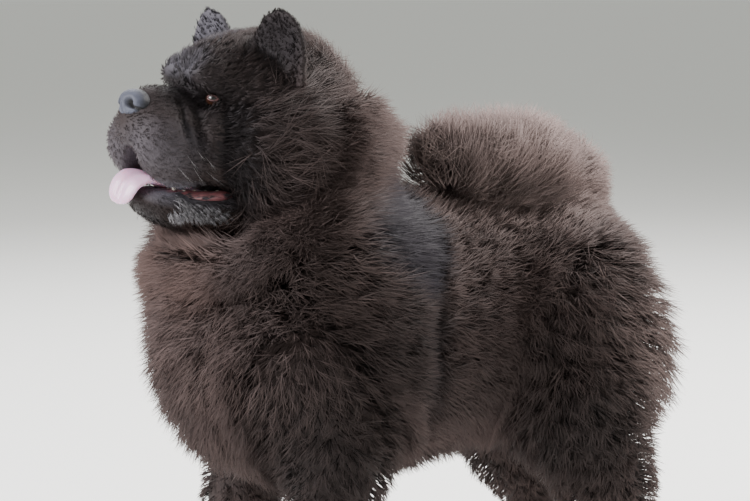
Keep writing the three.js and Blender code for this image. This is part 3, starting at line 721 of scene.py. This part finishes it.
def blades(start, bend, tip, out, wide, roll):
    """Points of flat blades: two rings on the bent line from start to tip, the tip, and two side hairs.

    A ring is left, ridge and right of the line, turned about it by roll. Each side hair is a small
    ring near the middle of the line and a tip of its own, spread to one side of the blade's tip.
    """

    def frame_at(t):
        at = (1 - t) ** 2 * start + 2 * t * (1 - t) * bend + t**2 * tip
        ahead = unit((1 - t) * (bend - start) + t * (tip - bend))
        aside = unit(np.cross(ahead, out + 0.01))
        over = np.cross(aside, ahead)
        return at, np.cos(roll) * aside + np.sin(roll) * over, np.cos(roll) * over - np.sin(roll) * aside

    rings = []
    for t, broad in ((0.0, 0.7), (0.5, 1.0)):
        at, aside, over = frame_at(t)
        half = wide * broad / 2
        rings += [at + aside * half, at + 0.7 * over * half, at - aside * half]
    long = length(tip - start)
    hairs = []
    for t, side, over_by, full in SIDE_HAIRS:
        at, aside, over = frame_at(t)
        thin = wide * 0.32
        hairs += [at + aside * thin, at + over * thin, at - aside * thin]
        hairs.append(mix(at, tip, full) + long * (side * aside + over_by * over))
    return np.stack([*rings, tip, *hairs], axis=1)


def tufts(part, roots, rng):
    """Blades from just under the skin, standing off by the bow, that end along the lie at its depth."""
    style = COATS[part["name"]]
    _, coat, out = slope(roots)
    coat = np.maximum(coat, 2 * MM)[:, None]
    calm = markings(roots)["slate"][:, None]  # the saddle's hairs lie smooth and long
    short = clamp01(1 - (coat - 4 * MM) / (20 * MM))
    stir = (1 - 0.85 * calm) * (1 - 0.6 * short)
    way = lie_of(part["name"], roots)
    way = way + stir * WAVE_LEAN * waves(roots, LIE_WAVES, rng)
    way = way + stir * CLUMP_LEAN * waves(roots, LIE_CLUMPS, rng)
    way = way + stir * OWN_LEAN * rng.normal(size=roots.shape)
    along = unit(way - (way * out).sum(1, keepdims=True) * out)
    full = rng.uniform(style["least"], 1.0, (len(roots), 1))
    full = full * (1 + 0.12 * waves(roots, DEPTH_WAVES, rng)[:, :1])
    full = np.minimum(full, 1.0) * (1 - 0.12 * calm)
    if part["name"] == "tail":
        full = full * (1 + 0.35 * clamp01(-out[:, 2:3]))
    behind, before = style["fuller"]
    if part["name"] == "mane":
        behind = mix(-0.22, behind, clamp01((roots[:, 2:3] - NAPE_LOW) / NAPE_RISE))
    full = full * (1 + behind * clamp01(out[:, 1:2]) + before * clamp01(-out[:, 1:2]))
    full = full * (1 - 0.35 * crease(roots)[:, None])
    reach = style["reach"] * coat * rng.uniform(0.75, 1.2, (len(roots), 1)) * (1 + 0.9 * calm)
    tip = roots + along * reach
    for _ in range(2):
        d, deep, up = slope(tip)
        tip = tip + up * (np.minimum(deep[:, None], coat * 1.15) * full - d[:, None])
    bow = style["bow"] * (1 - 0.5 * short) * (1 - 0.3 * calm)
    bend = roots + 0.25 * along * reach + out * bow * coat * full * 0.85
    start = roots - 1.5 * MM * out
    tip[:, 2] = np.maximum(tip[:, 2], 1.5 * MM)
    bend[:, 2] = np.maximum(bend[:, 2], 1.5 * MM)
    wide = style["wide"] * MM * rng.uniform(0.7, 1.3, (len(roots), 1))
    wide = np.minimum(wide, 0.3 * coat)
    return blades(start, bend, tip, out, wide, (1 - 0.7 * short) * rng.normal(0, 0.7, (len(roots), 1)))


BLADE_FACES = (
    [[0, 2, 1]]
    + [[j, (j + 1) % 3, j + 3] for j in range(3)]
    + [[(j + 1) % 3, (j + 1) % 3 + 3, j + 3] for j in range(3)]
    + [[3 + j, 3 + (j + 1) % 3, 6] for j in range(3)]
)
HAIR_FACES = [[0, 2, 1], [0, 1, 3], [1, 2, 3], [2, 0, 3]]
TUFT_FACES = np.array(BLADE_FACES + [[c + first for c in face] for first in (7, 11) for face in HAIR_FACES])
TUFT_ALONG = np.array([0, 0, 0, 0.5, 0.5, 0.5, 1, *([0.45] * 3 + [1]) * len(SIDE_HAIRS)])
TUFT_ACROSS = np.array([0, 0.5, 1, 0.1, 0.5, 0.9, 0.5, *([0.4, 0.5, 0.6] + [0.5]) * len(SIDE_HAIRS)])
CORNERS = len(TUFT_ALONG)
MOST = 10500  # tufts in one piece


def hair_piece(name, part, roots, points, slot, nodes=()):
    """Joins hairs into one mesh, each a small patch of the map at its root's place on the unwrap."""
    faces = (TUFT_FACES[None] + CORNERS * np.arange(len(roots))[:, None, None]).reshape(-1, 3)
    piece = new_piece(name, points.reshape(-1, 3), faces, slot, nodes)
    along, around = unwrap(part, roots)
    left, bottom, width, height = TILES[part["name"]]
    u = left + width * (0.01 + 0.98 * along)[:, None] + PATCH * (TUFT_ALONG - 0.5)
    v = bottom + height * (0.01 + 0.98 * around)[:, None] + PATCH * (TUFT_ACROSS - 0.5)
    places = np.stack([u, v], axis=-1).reshape(-1, 2)[faces.ravel()]
    piece.data.uv_layers.new(name="OFBake").data.foreach_set("uv", places.astype(np.float32).ravel())
    return piece


def coat_piece(name, part, roots, points, rng):
    """A mesh of tufts with how far along they run, a random tone, the markings and the form below."""
    style = COATS[part["name"]]
    piece = hair_piece(name, part, roots, points, style["slot"], style["nodes"])
    set_points(piece, "along", np.tile(TUFT_ALONG, len(roots)))
    tone = 0.5 + 0.3 * waves(roots, TONE_WAVES, rng)[:, 0] + 0.5 * (rng.random(len(roots)) - 0.5)
    set_points(piece, "tone", np.repeat(clamp01(tone), CORNERS))
    for colour, share in markings(roots).items():
        set_points(piece, colour, np.repeat(share, CORNERS))
    form = piece.data.attributes.new("form", "FLOAT_VECTOR", "POINT")
    facing = np.repeat(slope(roots, FORM_STEP)[2], CORNERS, axis=0)
    form.data.foreach_set("vector", facing.astype(np.float32).ravel())
    return piece


skin_points, skin_faces = skin_mesh()
FLESH_NODES = [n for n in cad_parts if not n.startswith(("nose", "tongue", "eye"))]
skin = new_piece("skin", skin_points, skin_faces, "face_fur", FLESH_NODES)
for colour, share in markings(skin_points).items():
    set_points(skin, colour, share)
in_head = to_head(skin_points)
set_points(skin, "mouth", in_mouth(in_head) * clamp01((118 * MM - in_head[:, 0]) / (14 * MM)))

owner = parts_of(skin_points)
coats = []
for number, part in enumerate(GROUPS):
    rng = np.random.default_rng(SEED + number)
    roots = scattered(skin_points, skin_faces, owner, number, rng)
    if part["name"] == "head":
        roots = roots[~bare_skin(roots)]
    points = tufts(part, roots, rng)
    for i, first in enumerate(range(0, len(roots), MOST)):
        some = slice(first, first + MOST)
        name = f"coat_{part['name']}_{i + 1}"
        coats.append(coat_piece(name, part, roots[some], points[some], rng))


def grid_uv(rows, columns):
    """u and v of each point of a closed grid: the rows between the poles, then the two poles."""
    u, v = np.meshgrid(np.arange(1, rows) / rows, np.arange(columns) / columns, indexing="ij")
    return np.append(u.ravel(), [0, 1]), np.append(v.ravel(), [0, 0])


def closed_grid(rows, columns, point_at):
    """A closed surface: point_at(u, v) over whole arrays, u from one pole to the other, v round it."""
    points = point_at(*grid_uv(rows, columns))
    i, j = np.meshgrid(np.arange(rows - 2), np.arange(columns), indexing="ij")
    a, b = (i * columns + j).ravel(), (i * columns + (j + 1) % columns).ravel()
    c, d = a + columns, b + columns
    j = np.arange(columns)
    k = (j + 1) % columns
    last = (rows - 2) * columns
    south, north = len(points) - 2, len(points) - 1
    faces = [
        np.stack([a, b, d], 1),
        np.stack([a, d, c], 1),
        np.stack([k, j, np.full(columns, south)], 1),
        np.stack([last + j, last + k, np.full(columns, north)], 1),
    ]
    return points, np.concatenate(faces)


def outwards(piece):
    """Turns every face of a closed piece outwards."""
    shaped = bmesh.new()
    shaped.from_mesh(piece.data)
    bmesh.ops.recalc_face_normals(shaped, faces=shaped.faces)
    shaped.to_mesh(piece.data)
    shaped.free()
    return piece


def nose_egg(u, v):
    """Places on a plain egg, from its middle: u runs from its front to its back."""
    polar, turn = math.pi * u, 2 * math.pi * v
    ball = [np.cos(polar), np.sin(polar) * np.sin(turn), np.sin(polar) * np.cos(turn)]
    return NOSE_HALF * np.stack(ball, axis=1)


NOSTRIL_OUT = 10 * MM  # from the nose's middle to a nostril's
NOSTRIL_DEEP, SLIT_DEEP, GROOVE_DEEP = 8 * MM, 4 * MM, 2 * MM


def nose_dents(u, v):
    """Depths, 0 to 1, of the nostrils, the slits that curl out from them, and the groove between them."""
    ahead, across, up = nose_egg(u, v).T
    front = clamp01(1.3 * ahead / NOSE_HALF[0])
    away = np.abs(across)
    nostril = np.exp(-(((away - NOSTRIL_OUT) / (4.2 * MM)) ** 2) - ((up + 0.5 * MM) / (4.4 * MM)) ** 2)
    low = up + 4 * MM + 0.25 * (away - 14 * MM)
    slit = np.exp(-((low / (2.0 * MM)) ** 2)) * clamp01((away - 9 * MM) / (4 * MM))
    groove = np.exp(-((across / (1.5 * MM)) ** 2)) * clamp01(0.6 - up / (8 * MM))
    return nostril * front, slit * clamp01(3 * front), groove * front


def nose_surface(u, v):
    """The egg with its dents pressed in."""
    nostril, slit, groove = nose_dents(u, v)
    deep = NOSTRIL_DEEP * nostril + SLIT_DEEP * slit + GROOVE_DEEP * groove
    return from_head(NOSE_AT + nose_egg(u, v) - deep[:, None] * [1, 0, 0])


TONGUE_PATH = [
    mm(36, 0, -103),
    mm(80, 0, -98),
    mm(116, 0, -92),
    mm(136, -1, -91),
    mm(150, -2, -100),
    mm(157, -3, -123),
]
TONGUE_WIDE = 22 * MM
TONGUE_THICK = 6 * MM
TONGUE_ROLL = math.radians(20)  # its front is rolled down to the dog's left


def smooth_line(points, t):
    """Places and directions at t along a smooth curve through the points (Catmull-Rom)."""
    points = np.array(points)
    padded = np.concatenate([2 * points[:1] - points[1:2], points, 2 * points[-1:] - points[-2:-1]])
    spans = len(points) - 1
    i = np.clip((t * spans).astype(int), 0, spans - 1)
    s = (t * spans - i)[:, None]
    a, b, c, d = (padded[i + k] for k in range(4))
    at = 0.5 * (2 * b + (c - a) * s + (2 * a - 5 * b + 4 * c - d) * s**2 + (3 * b - a - 3 * c + d) * s**3)
    ahead = 0.5 * ((c - a) + 2 * (2 * a - 5 * b + 4 * c - d) * s + 3 * (3 * b - a - 3 * c + d) * s**2)
    return at, unit(ahead)


def tongue_surface(u, v):
    """A flat rounded strap along its path, grooved down the middle on top, its tip hanging over the lip."""
    at, ahead = smooth_line(TONGUE_PATH, u)
    flat = unit(np.stack([-ahead[:, 2], np.zeros(len(u)), ahead[:, 0]], axis=1))
    roll = (TONGUE_ROLL * clamp01((u - 0.4) / 0.3))[:, None]
    up, aside = np.cos(roll) * flat + np.sin(roll) * Y, np.cos(roll) * Y - np.sin(roll) * flat
    full = np.sqrt(np.maximum(0, 1 - (2 * u - 1) ** 8)) * mix(1.02, 0.84, u)
    turn = 2 * math.pi * v
    side = np.sin(turn) * TONGUE_WIDE * full
    top = np.cos(turn) > 0
    groove = np.where(top, 2.4 * MM * full * np.exp(-((side / (5 * MM)) ** 2)), 0)
    lift = np.cos(turn) * TONGUE_THICK * full - groove + 2.5 * MM * (side / TONGUE_WIDE) ** 2 * full
    return from_head(at + side[:, None] * aside + lift[:, None] * up)


def eye_surface(side):
    """A ball with a slight bulge at the cornea, looking forwards and out."""
    look = unit(mm(1.0, side * 0.75, -0.02)[None])[0]

    def at(u, v):
        polar, turn = math.pi * u, 2 * math.pi * v
        aside = unit(np.cross(look, Z)[None])[0]
        over = np.cross(aside, look)
        ring = np.cos(turn)[:, None] * aside + np.sin(turn)[:, None] * over
        ball = np.cos(polar)[:, None] * look + np.sin(polar)[:, None] * ring
        bulge = 1 + 0.06 * np.exp(-((polar / 0.45) ** 2))
        return from_head(EYE_AT * [1, side, 1] + EYE_RADIUS * bulge[:, None] * ball)

    return at


nose = outwards(new_piece("nose_pad", *closed_grid(56, 72, nose_surface), "nose_leather", ["nose"]))
nose_u, nose_v = grid_uv(56, 72)
nostril, slit, _ = nose_dents(nose_u, nose_v)
# painted shade in the nostrils and slits and over the back half of the nose
set_points(nose, "painted_nose_shade", clamp01(1.5 * (nostril + slit) + 0.85 * clamp01((nose_u - 0.3) / 0.2)))
tongue = outwards(new_piece("tongue_blade", *closed_grid(60, 64, tongue_surface), "tongue", ["tongue"]))
eyes = []
for side, word in ((1, "left"), (-1, "right")):
    eye = new_piece(f"eyeball_{word}", *closed_grid(28, 36, eye_surface(side)), "eye", [f"eye_{word}"])
    set_points(eye, "polar", grid_uv(28, 36)[0])
    eyes.append(outwards(eye))


def tubes(lines, radii, columns=8, steps=14):
    """Closed tapering rods along smooth lines, with the given radii at even steps and rounded ends."""
    all_points, all_faces, count = [], [], 0
    for line, radius in zip(lines, radii):

        def at(u, v, line=line, radius=radius):
            place, ahead = smooth_line(line, u)
            aside = unit(np.cross(ahead, Z + 0.01 * X))
            over = np.cross(aside, ahead)
            r = np.interp(u, np.linspace(0, 1, len(radius)), radius)
            r = (r * np.sqrt(1 - (2 * u - 1) ** 12))[:, None]
            turn = (2 * math.pi * v)[:, None]
            return place + r * (np.cos(turn) * aside + np.sin(turn) * over)

        points, faces = closed_grid(steps, columns, at)
        all_points.append(points)
        all_faces.append(faces + count)
        count += len(points)
    return np.concatenate(all_points), np.concatenate(all_faces)


def on_head(lines):
    """Lines given in head places in mm, and their mirror images, in the body's frame."""
    both = [np.array(line, float) * MM * [1, side, 1] for line in lines for side in (1, -1)]
    return [from_head(line) for line in both]


GUMS = [[104, 17, -101], [90, 27, -102], [74, 34, -100], [58, 38, -97], [44, 38, -95]]
# One side's teeth: place in the head, height and radius, in mm.
TEETH = [
    ([106, 19, -98], 10, 2.6),
    ([96, 24, -99], 5, 2.4),
    ([86, 28, -98], 5.5, 2.8),
    ([75, 32.5, -97], 6, 3.2),
    ([63, 36, -95], 6.5, 3.6),
    ([113, 4, -101], 4, 1.5),
    ([112, 9, -101], 4.5, 1.6),
    ([110, 14, -100], 5, 1.8),
]


def tooth_line(place, height):
    """A tooth's middle line, from inside the gum to the tip."""
    x, y, z = place
    return [[x, y, z - 6], [x + 0.5, y + 0.5, z + 0.5 * height - 2], [x - 0.5, y, z + height - 2]]


tooth_lines = [tooth_line(place, height) for place, height, _ in TEETH]
tooth_sizes = [np.array([r, r, 0.9 * r, 0.6 * r, 0.15 * r]) * MM for *_, r in TEETH for _ in (1, -1)]
gums = outwards(new_piece("gums", *tubes(on_head([GUMS]), [mm(4, 6, 6.5, 6.5, 4)] * 2, 14, 30), "tongue"))
teeth = outwards(new_piece("teeth", *tubes(on_head(tooth_lines), tooth_sizes, 10, 10), "tongue"))


def claw_lines():
    """A claw at the front of each toe, curving down and forwards from inside the fur."""
    lines = []
    for x, y in (FORE_FOOT_AT, HIND_FOOT_AT):
        for out in TOES:
            front = y - toe_ahead(out) - 14
            lines.append([
                [x + out, front, 14],
                [x + 1.08 * out, front - 7, 11.5],
                [x + 1.12 * out, front - 12, 4.5],
            ])
    return [np.array(line, float) * MM * [side, 1, 1] for line in lines for side in (1, -1)]


CLAW_SIZES = [mm(4, 4, 3.2, 2, 0.7)] * 16
claws = outwards(new_piece("claws", *tubes(claw_lines(), CLAW_SIZES, 12, 14), "nose_leather"))


LID_LONG, LID_HIGH = 0.6, 0.24  # half size of the lids' ring against the ball's radius
LID_THICK = 1.1 * MM


def lid_lines():
    """An almond ring along the edges of each eye's opening, just proud of the ball."""
    turn = np.linspace(0, 2 * math.pi, 25)
    ring = np.stack([np.cos(turn), np.sin(turn)], axis=1)
    lines = []
    for side in (1, -1):
        look = unit(mm(1.0, side * 0.9, 0)[None])[0]
        aside = unit(np.cross(look, Z)[None])[0]
        flat = aside * ring[:, :1] * LID_LONG + Z * ring[:, 1:] * (LID_HIGH - 0.05 * ring[:, :1] ** 2)
        lines.append(from_head(EYE_AT * [1, side, 1] + (EYE_RADIUS + 0.3 * MM) * unit(look + flat)))
    return lines


LID_SIZES = [np.full(2, LID_THICK)] * 2
lids = outwards(new_piece("eyelids", *tubes(lid_lines(), LID_SIZES, 8, 96), "face_fur"))


def bristles(name, roots, ways, long, wide, slot, rng):
    """Single stiff hairs: each from a root, leaning its own way, slightly bent."""
    long = (long * MM * rng.uniform(0.7, 1.2, len(roots)))[:, None]
    ways = unit(ways + 0.25 * rng.normal(size=ways.shape))
    _, _, out = slope(roots)
    tip = roots + ways * long
    bend = roots + 0.5 * ways * long + 0.12 * long * out
    wide = np.full((len(roots), 1), wide * MM)
    points = blades(roots - 1 * MM * out, bend, tip, out, wide, np.zeros((len(roots), 1)))
    return hair_piece(name, GROUPS[-1], roots, points, slot)


def leaning(roots, back, outward, down):
    """The way that hairs on both sides of the face lean, in the body's frame."""
    side = np.sign(to_head(roots)[:, 1:2])
    return (np.array([-back, 0, -down]) + side * [0, outward, 0]) @ HEAD_AXES


LIP_LINE = [[112, 22, -112], [96, 36, -114], [74, 46, -112], [54, 50, -106]]
LIP_HAIRS = 900
WHISKER_SPOTS = [[x, 46, z] for x in (126, 112, 98) for z in (-54, -70)]


def along_lip(number, low, high, rng):
    """Random places on the skin round a line on both sides of the lower lip."""
    t = rng.random(number)
    line = np.array(LIP_LINE, float) * MM
    q = np.stack([np.interp(t, np.linspace(0, 1, len(line)), line[:, k]) for k in range(3)], axis=1)
    q[:, 1] *= rng.choice([1, -1], number)
    q[:, 2] += rng.uniform(low, high, number) * MM
    return on_skin(from_head(q), rounds=5)


rng = np.random.default_rng(SEED + 20)
lip_roots = along_lip(LIP_HAIRS, -9, 9, rng)
lip_hair = bristles("lip_hair", lip_roots, leaning(lip_roots, 0.45, 0.6, 0.8), 13, 0.8, "face_fur", rng)
spots = np.array(WHISKER_SPOTS, float) * MM
spots = np.concatenate([spots, spots * [1, -1, 1]])
spots = on_skin(from_head(spots + rng.normal(0, 2 * MM, spots.shape)), rounds=6)
whiskers = bristles("whiskers", spots, leaning(spots, 0.5, 0.45, 0.35), 30, 0.22, "face_fur", rng)


def new_material(name, **sockets):
    """A Principled material with plain values on its own sockets, with its nodes, links and shader."""
    material = bpy.data.materials.new(name)
    material.use_nodes = True
    shader = material.node_tree.nodes["Principled BSDF"]
    for socket, value in sockets.items():
        shader.inputs[socket.replace("_", " ")].default_value = value
    return material, material.node_tree.nodes, material.node_tree.links, shader


def srgb(r, g, b):
    """A colour given in 0 to 255, as the linear colour that a socket holds."""
    c = np.array([r, g, b]) / 255
    linear = np.where(c <= 0.04045, c / 12.92, ((c + 0.055) / 1.055) ** 2.4)
    return (*linear.tolist(), 1.0)


def add_node(nodes, kind, **inputs):
    node = nodes.new(kind)
    for name, value in inputs.items():
        node.inputs[name.replace("_", " ")].default_value = value
    return node


def add_mix(nodes, links, share, a, b):
    """A colour mix; each of share, a and b is a socket or a plain value."""
    node = nodes.new("ShaderNodeMix")
    node.data_type = "RGBA"
    for socket, value in zip((node.inputs[0], node.inputs[6], node.inputs[7]), (share, a, b)):
        if isinstance(value, bpy.types.NodeSocket):
            links.new(value, socket)
        else:
            socket.default_value = value
    return node.outputs[2]


def add_math(nodes, links, operation, *values):
    node = nodes.new("ShaderNodeMath")
    node.operation = operation
    node.use_clamp = operation == "MULTIPLY_ADD"
    for socket, value in zip(node.inputs, values):
        if isinstance(value, bpy.types.NodeSocket):
            links.new(value, socket)
        else:
            socket.default_value = value
    return node.outputs[0]


def add_texture(nodes, links, kind, output, **inputs):
    """A texture at the piece's own Object coordinates; returns one of its outputs."""
    texture = add_node(nodes, kind, **inputs)
    links.new(nodes.new("ShaderNodeTexCoord").outputs["Object"], texture.inputs["Vector"])
    return texture.outputs[output]


def add_attribute(nodes, name, output="Fac"):
    own = nodes.new("ShaderNodeAttribute")
    own.attribute_name = name
    return own.outputs[output]


def add_bump(nodes, links, shader, height, strength, distance):
    bump = add_node(nodes, "ShaderNodeBump", Strength=strength, Distance=distance)
    links.new(height, bump.inputs["Height"])
    links.new(bump.outputs["Normal"], shader.inputs["Normal"])


COLOUR_SHARES = ("slate", "rufous", "grey_and_sheen", "black", "shade", "pale")


def fur_colour_group():
    """Colour of the fur from its place, how far along a tuft it is, its tone, and the markings."""
    tree = bpy.data.node_groups.new("fur_colour", "ShaderNodeTree")
    for name in ("along", "tone", *COLOUR_SHARES):
        tree.interface.new_socket(name, in_out="INPUT", socket_type="NodeSocketFloat")
    tree.interface.new_socket("Color", in_out="OUTPUT", socket_type="NodeSocketColor")
    tree.interface.new_socket("Roughness", in_out="OUTPUT", socket_type="NodeSocketFloat")
    nodes, links = tree.nodes, tree.links
    given = nodes.new("NodeGroupInput").outputs
    out = nodes.new("NodeGroupOutput").inputs
    patches = add_texture(nodes, links, "ShaderNodeTexNoise", "Fac", Scale=14.0, Detail=3.0)
    # Dark roots and brown tips: the hair's own colour, with painted shade deep in the coat and painted
    # light shining through the tips.
    root, tip = srgb(12, 10, 10), srgb(96, 80, 77)
    rise = add_math(nodes, links, "MULTIPLY_ADD", given["along"], 0.85, 0.1)
    colour = add_mix(nodes, links, rise, root, tip)
    brown = add_mix(nodes, links, patches, srgb(60, 50, 49), srgb(116, 98, 94))
    colour = add_mix(nodes, links, add_math(nodes, links, "MULTIPLY", rise, 0.5), colour, brown)
    # paler tips, partly painted light
    pale = add_math(nodes, links, "MULTIPLY", given["pale"], rise)
    pale = add_math(nodes, links, "MULTIPLY", pale, 0.75)
    colour = add_mix(nodes, links, pale, colour, srgb(180, 158, 153))
    for name, shade, most in (
        # painted shade
        ("shade", srgb(24, 19, 19), 0.78),
        ("rufous", srgb(96, 66, 52), 0.5),
        ("slate", srgb(34, 33, 42), 0.9),
        # the black face and lips, with painted shade in the folds and in the parting behind the shoulder
        ("black", srgb(28, 25, 28), 0.9),
        # silvery hairs of the lips and ear fronts, with painted sheen on the muzzle
        ("grey_and_sheen", srgb(116, 114, 124), 0.7),
    ):
        colour = add_mix(nodes, links, add_math(nodes, links, "MULTIPLY", given[name], most), colour, shade)
    darker = add_math(nodes, links, "MULTIPLY_ADD", given["tone"], 0.5, 0.0)
    links.new(add_mix(nodes, links, darker, colour, srgb(18, 15, 15)), out["Color"])
    dull = add_math(nodes, links, "MULTIPLY_ADD", given["slate"], -0.1, 0.6)
    links.new(dull, out["Roughness"])
    return tree


FUR_COLOUR = fur_colour_group()


def fur_nodes(nodes, links, shader, along=None):
    """The shared fur colour with the piece's own attributes; a plain number stands in for a missing one."""
    fur = nodes.new("ShaderNodeGroup")
    fur.node_tree = FUR_COLOUR
    for name in ("along", "tone", *COLOUR_SHARES):
        if along is not None and name in ("along", "tone"):
            fur.inputs[name].default_value = along
            continue
        links.new(add_attribute(nodes, name), fur.inputs[name])
    links.new(fur.outputs["Roughness"], shader.inputs["Roughness"])
    return fur.outputs["Color"]


def make_fur(name):
    """The coat, lit about halfway between each hair's own faces and the form that it grows on."""
    material, nodes, links, shader = new_material(name, Specular_IOR_Level=0.16)
    links.new(fur_nodes(nodes, links, shader), shader.inputs["Base Color"])
    between = nodes.new("ShaderNodeMix")
    between.data_type = "VECTOR"
    between.inputs[0].default_value = 0.55
    links.new(nodes.new("ShaderNodeNewGeometry").outputs["Normal"], between.inputs[4])
    links.new(add_attribute(nodes, "form", "Vector"), between.inputs[5])
    whole = nodes.new("ShaderNodeVectorMath")
    whole.operation = "NORMALIZE"
    links.new(between.outputs[1], whole.inputs[0])
    links.new(whole.outputs["Vector"], shader.inputs["Normal"])
    return material


def make_skin():
    """Short dark fur as streaky bump, with the wet lining of the mouth."""
    material, nodes, links, shader = new_material("short_fur", Specular_IOR_Level=0.14)
    fur = fur_nodes(nodes, links, shader, along=0.25)
    colour = add_mix(nodes, links, add_attribute(nodes, "mouth"), fur, srgb(128, 64, 72))
    links.new(colour, shader.inputs["Base Color"])
    streaks = add_texture(nodes, links, "ShaderNodeTexNoise", "Fac", Scale=420.0, Detail=2.0)
    add_bump(nodes, links, shader, streaks, 0.6, 1.5 * MM)
    return material


def make_nose():
    """Clouded slate leather with fine pebbles, with painted shade in its nostrils and their slits and over
    its back half, where it sinks into the muzzle.
    """
    material, nodes, links, shader = new_material("nose_leather", Roughness=0.6, Specular_IOR_Level=0.35)
    pebbles = add_texture(nodes, links, "ShaderNodeTexVoronoi", "Distance", Scale=700.0)
    add_bump(nodes, links, shader, pebbles, 0.35, 0.6 * MM)
    clouds = add_texture(nodes, links, "ShaderNodeTexNoise", "Fac", Scale=60.0, Detail=3.0)
    colour = add_mix(nodes, links, clouds, srgb(46, 48, 58), srgb(84, 87, 102))
    # painted shade
    colour = add_mix(nodes, links, add_attribute(nodes, "painted_nose_shade"), colour, srgb(10, 9, 11))
    links.new(colour, shader.inputs["Base Color"])
    return material


def make_tongue():
    """Pale violet pink, moist, with a fine grain."""
    material, nodes, links, shader = new_material(
        "tongue", Roughness=0.42, Subsurface_Weight=0.15, Coat_Weight=0.3
    )
    clouds = add_texture(nodes, links, "ShaderNodeTexNoise", "Fac", Scale=55.0, Detail=4.0)
    colour = add_mix(nodes, links, clouds, srgb(186, 138, 170), srgb(222, 188, 212))
    links.new(colour, shader.inputs["Base Color"])
    grain = add_texture(nodes, links, "ShaderNodeTexVoronoi", "Distance", Scale=900.0)
    add_bump(nodes, links, shader, grain, 0.3, 0.6 * MM)
    return material


def make_eye():
    """Black pupil and dark brown iris in a near black ball, by the angle from the eye's own axis."""
    material, nodes, links, shader = new_material(
        "eye", Roughness=0.25, Coat_Weight=0.6, Coat_Roughness=0.12
    )
    ramp = nodes.new("ShaderNodeValToRGB")
    ramp.color_ramp.elements[0].position = 0.1
    ramp.color_ramp.elements[0].color = srgb(8, 6, 6)
    ramp.color_ramp.elements[1].position = 0.34
    ramp.color_ramp.elements[1].color = srgb(18, 12, 12)
    for position, shade in ((0.13, srgb(50, 28, 18)), (0.27, srgb(30, 18, 13))):
        ramp.color_ramp.elements.new(position).color = shade
    links.new(add_attribute(nodes, "polar"), ramp.inputs["Fac"])
    links.new(ramp.outputs["Color"], shader.inputs["Base Color"])
    return material


def make_plain(name, dark, light, size, **sockets):
    """A finish clouded between two shades, with a fine bump."""
    material, nodes, links, shader = new_material(name, **sockets)
    clouds = add_texture(nodes, links, "ShaderNodeTexNoise", "Fac", Scale=size, Detail=3.0)
    links.new(add_mix(nodes, links, clouds, srgb(*dark), srgb(*light)), shader.inputs["Base Color"])
    add_bump(nodes, links, shader, clouds, 0.25, 0.5 * MM)
    return material


# Finishes of the small pieces: name, dark and light shade, how fine the clouds are, and the gloss.
for piece, name, dark, light, size, gloss in (
    (gums, "gum", (104, 56, 62), (168, 108, 112), 160, dict(Roughness=0.3, Coat_Weight=0.3)),
    (teeth, "tooth", (196, 186, 170), (232, 226, 214), 300, dict(Roughness=0.25)),
    (claws, "horn", (28, 24, 22), (62, 54, 48), 220, dict(Roughness=0.4)),
    (lids, "lid_rim", (36, 22, 23), (92, 56, 56), 400, dict(Roughness=0.5)),
    (lip_hair, "grey_hair", (72, 70, 74), (150, 148, 152), 320, dict(Roughness=0.55)),
    (whiskers, "whisker", (104, 102, 104), (150, 148, 148), 90, dict(Roughness=0.5)),
):
    piece.data.materials.append(make_plain(name, dark, light, size, **gloss))
FUR = make_fur("long_fur")
skin.data.materials.append(make_skin())
nose.data.materials.append(make_nose())
tongue.data.materials.append(make_tongue())
EYE = make_eye()
for eye in eyes:
    eye.data.materials.append(EYE)
for piece in coats:
    piece.data.materials.append(FUR)


def make_floor():
    """A pale flat floor that runs a long way off."""
    mesh = bpy.data.meshes.new("studio_floor")
    far = 150.0
    mesh.from_pydata([(-far, -far, 0), (far, -far, 0), (far, far, 0), (-far, far, 0)], [], [(0, 1, 2, 3)])
    floor = bpy.data.objects.new("studio_floor", mesh)
    bpy.context.scene.collection.objects.link(floor)
    finish = new_material("pale_floor", Roughness=0.8, Base_Color=srgb(252, 252, 250))[0]
    floor.data.materials.append(finish)


def area_light(name, place, target, size, power, tint=(1, 1, 1)):
    light = bpy.data.lights.new(name, "AREA")
    light.shape = "SQUARE"
    light.size = size
    light.energy = power
    light.color = tint
    lamp = bpy.data.objects.new(name, light)
    lamp.location = place
    lamp.rotation_mode = "QUATERNION"
    lamp.rotation_quaternion = (Vector(target) - Vector(place)).to_track_quat("-Z", "Y")
    bpy.context.scene.collection.objects.link(lamp)


def make_light():
    world = bpy.data.worlds.new("pale_room")
    world.use_nodes = True
    world.node_tree.nodes["Background"].inputs["Color"].default_value = srgb(236, 238, 232)
    world.node_tree.nodes["Background"].inputs["Strength"].default_value = 0.62
    bpy.context.scene.world = world
    middle = (0, 0, 0.45)
    area_light("key", (0.5, 2.5, 2.9), middle, 1.5, 300, (1.0, 0.97, 0.95))
    area_light("front", (-0.3, -3.1, 2.2), middle, 1.8, 275, (0.98, 0.97, 0.99))
    area_light("far", (-2.4, 0.8, 2.6), middle, 1.8, 70)


CAMERA_AT = mm(1972.5, -1183.5, 767)
CAMERA_ROUND = math.radians(60)  # how far round from the dog's front, on its left
CAMERA_DIP = math.radians(7.25)
CAMERA_LENS = 97.15  # mm, for a picture 36 mm wide


def make_camera():
    data = bpy.data.cameras.new("camera")
    data.lens = CAMERA_LENS
    data.sensor_width = 36
    ahead = math.cos(CAMERA_DIP)
    look = Vector((-ahead * math.sin(CAMERA_ROUND), ahead * math.cos(CAMERA_ROUND), -math.sin(CAMERA_DIP)))
    camera = bpy.data.objects.new("camera", data)
    camera.location = CAMERA_AT + SHIFT
    camera.rotation_mode = "QUATERNION"
    camera.rotation_quaternion = look.to_track_quat("-Z", "Y")
    bpy.context.scene.collection.objects.link(camera)
    bpy.context.scene.camera = camera


make_floor()
make_light()
make_camera()
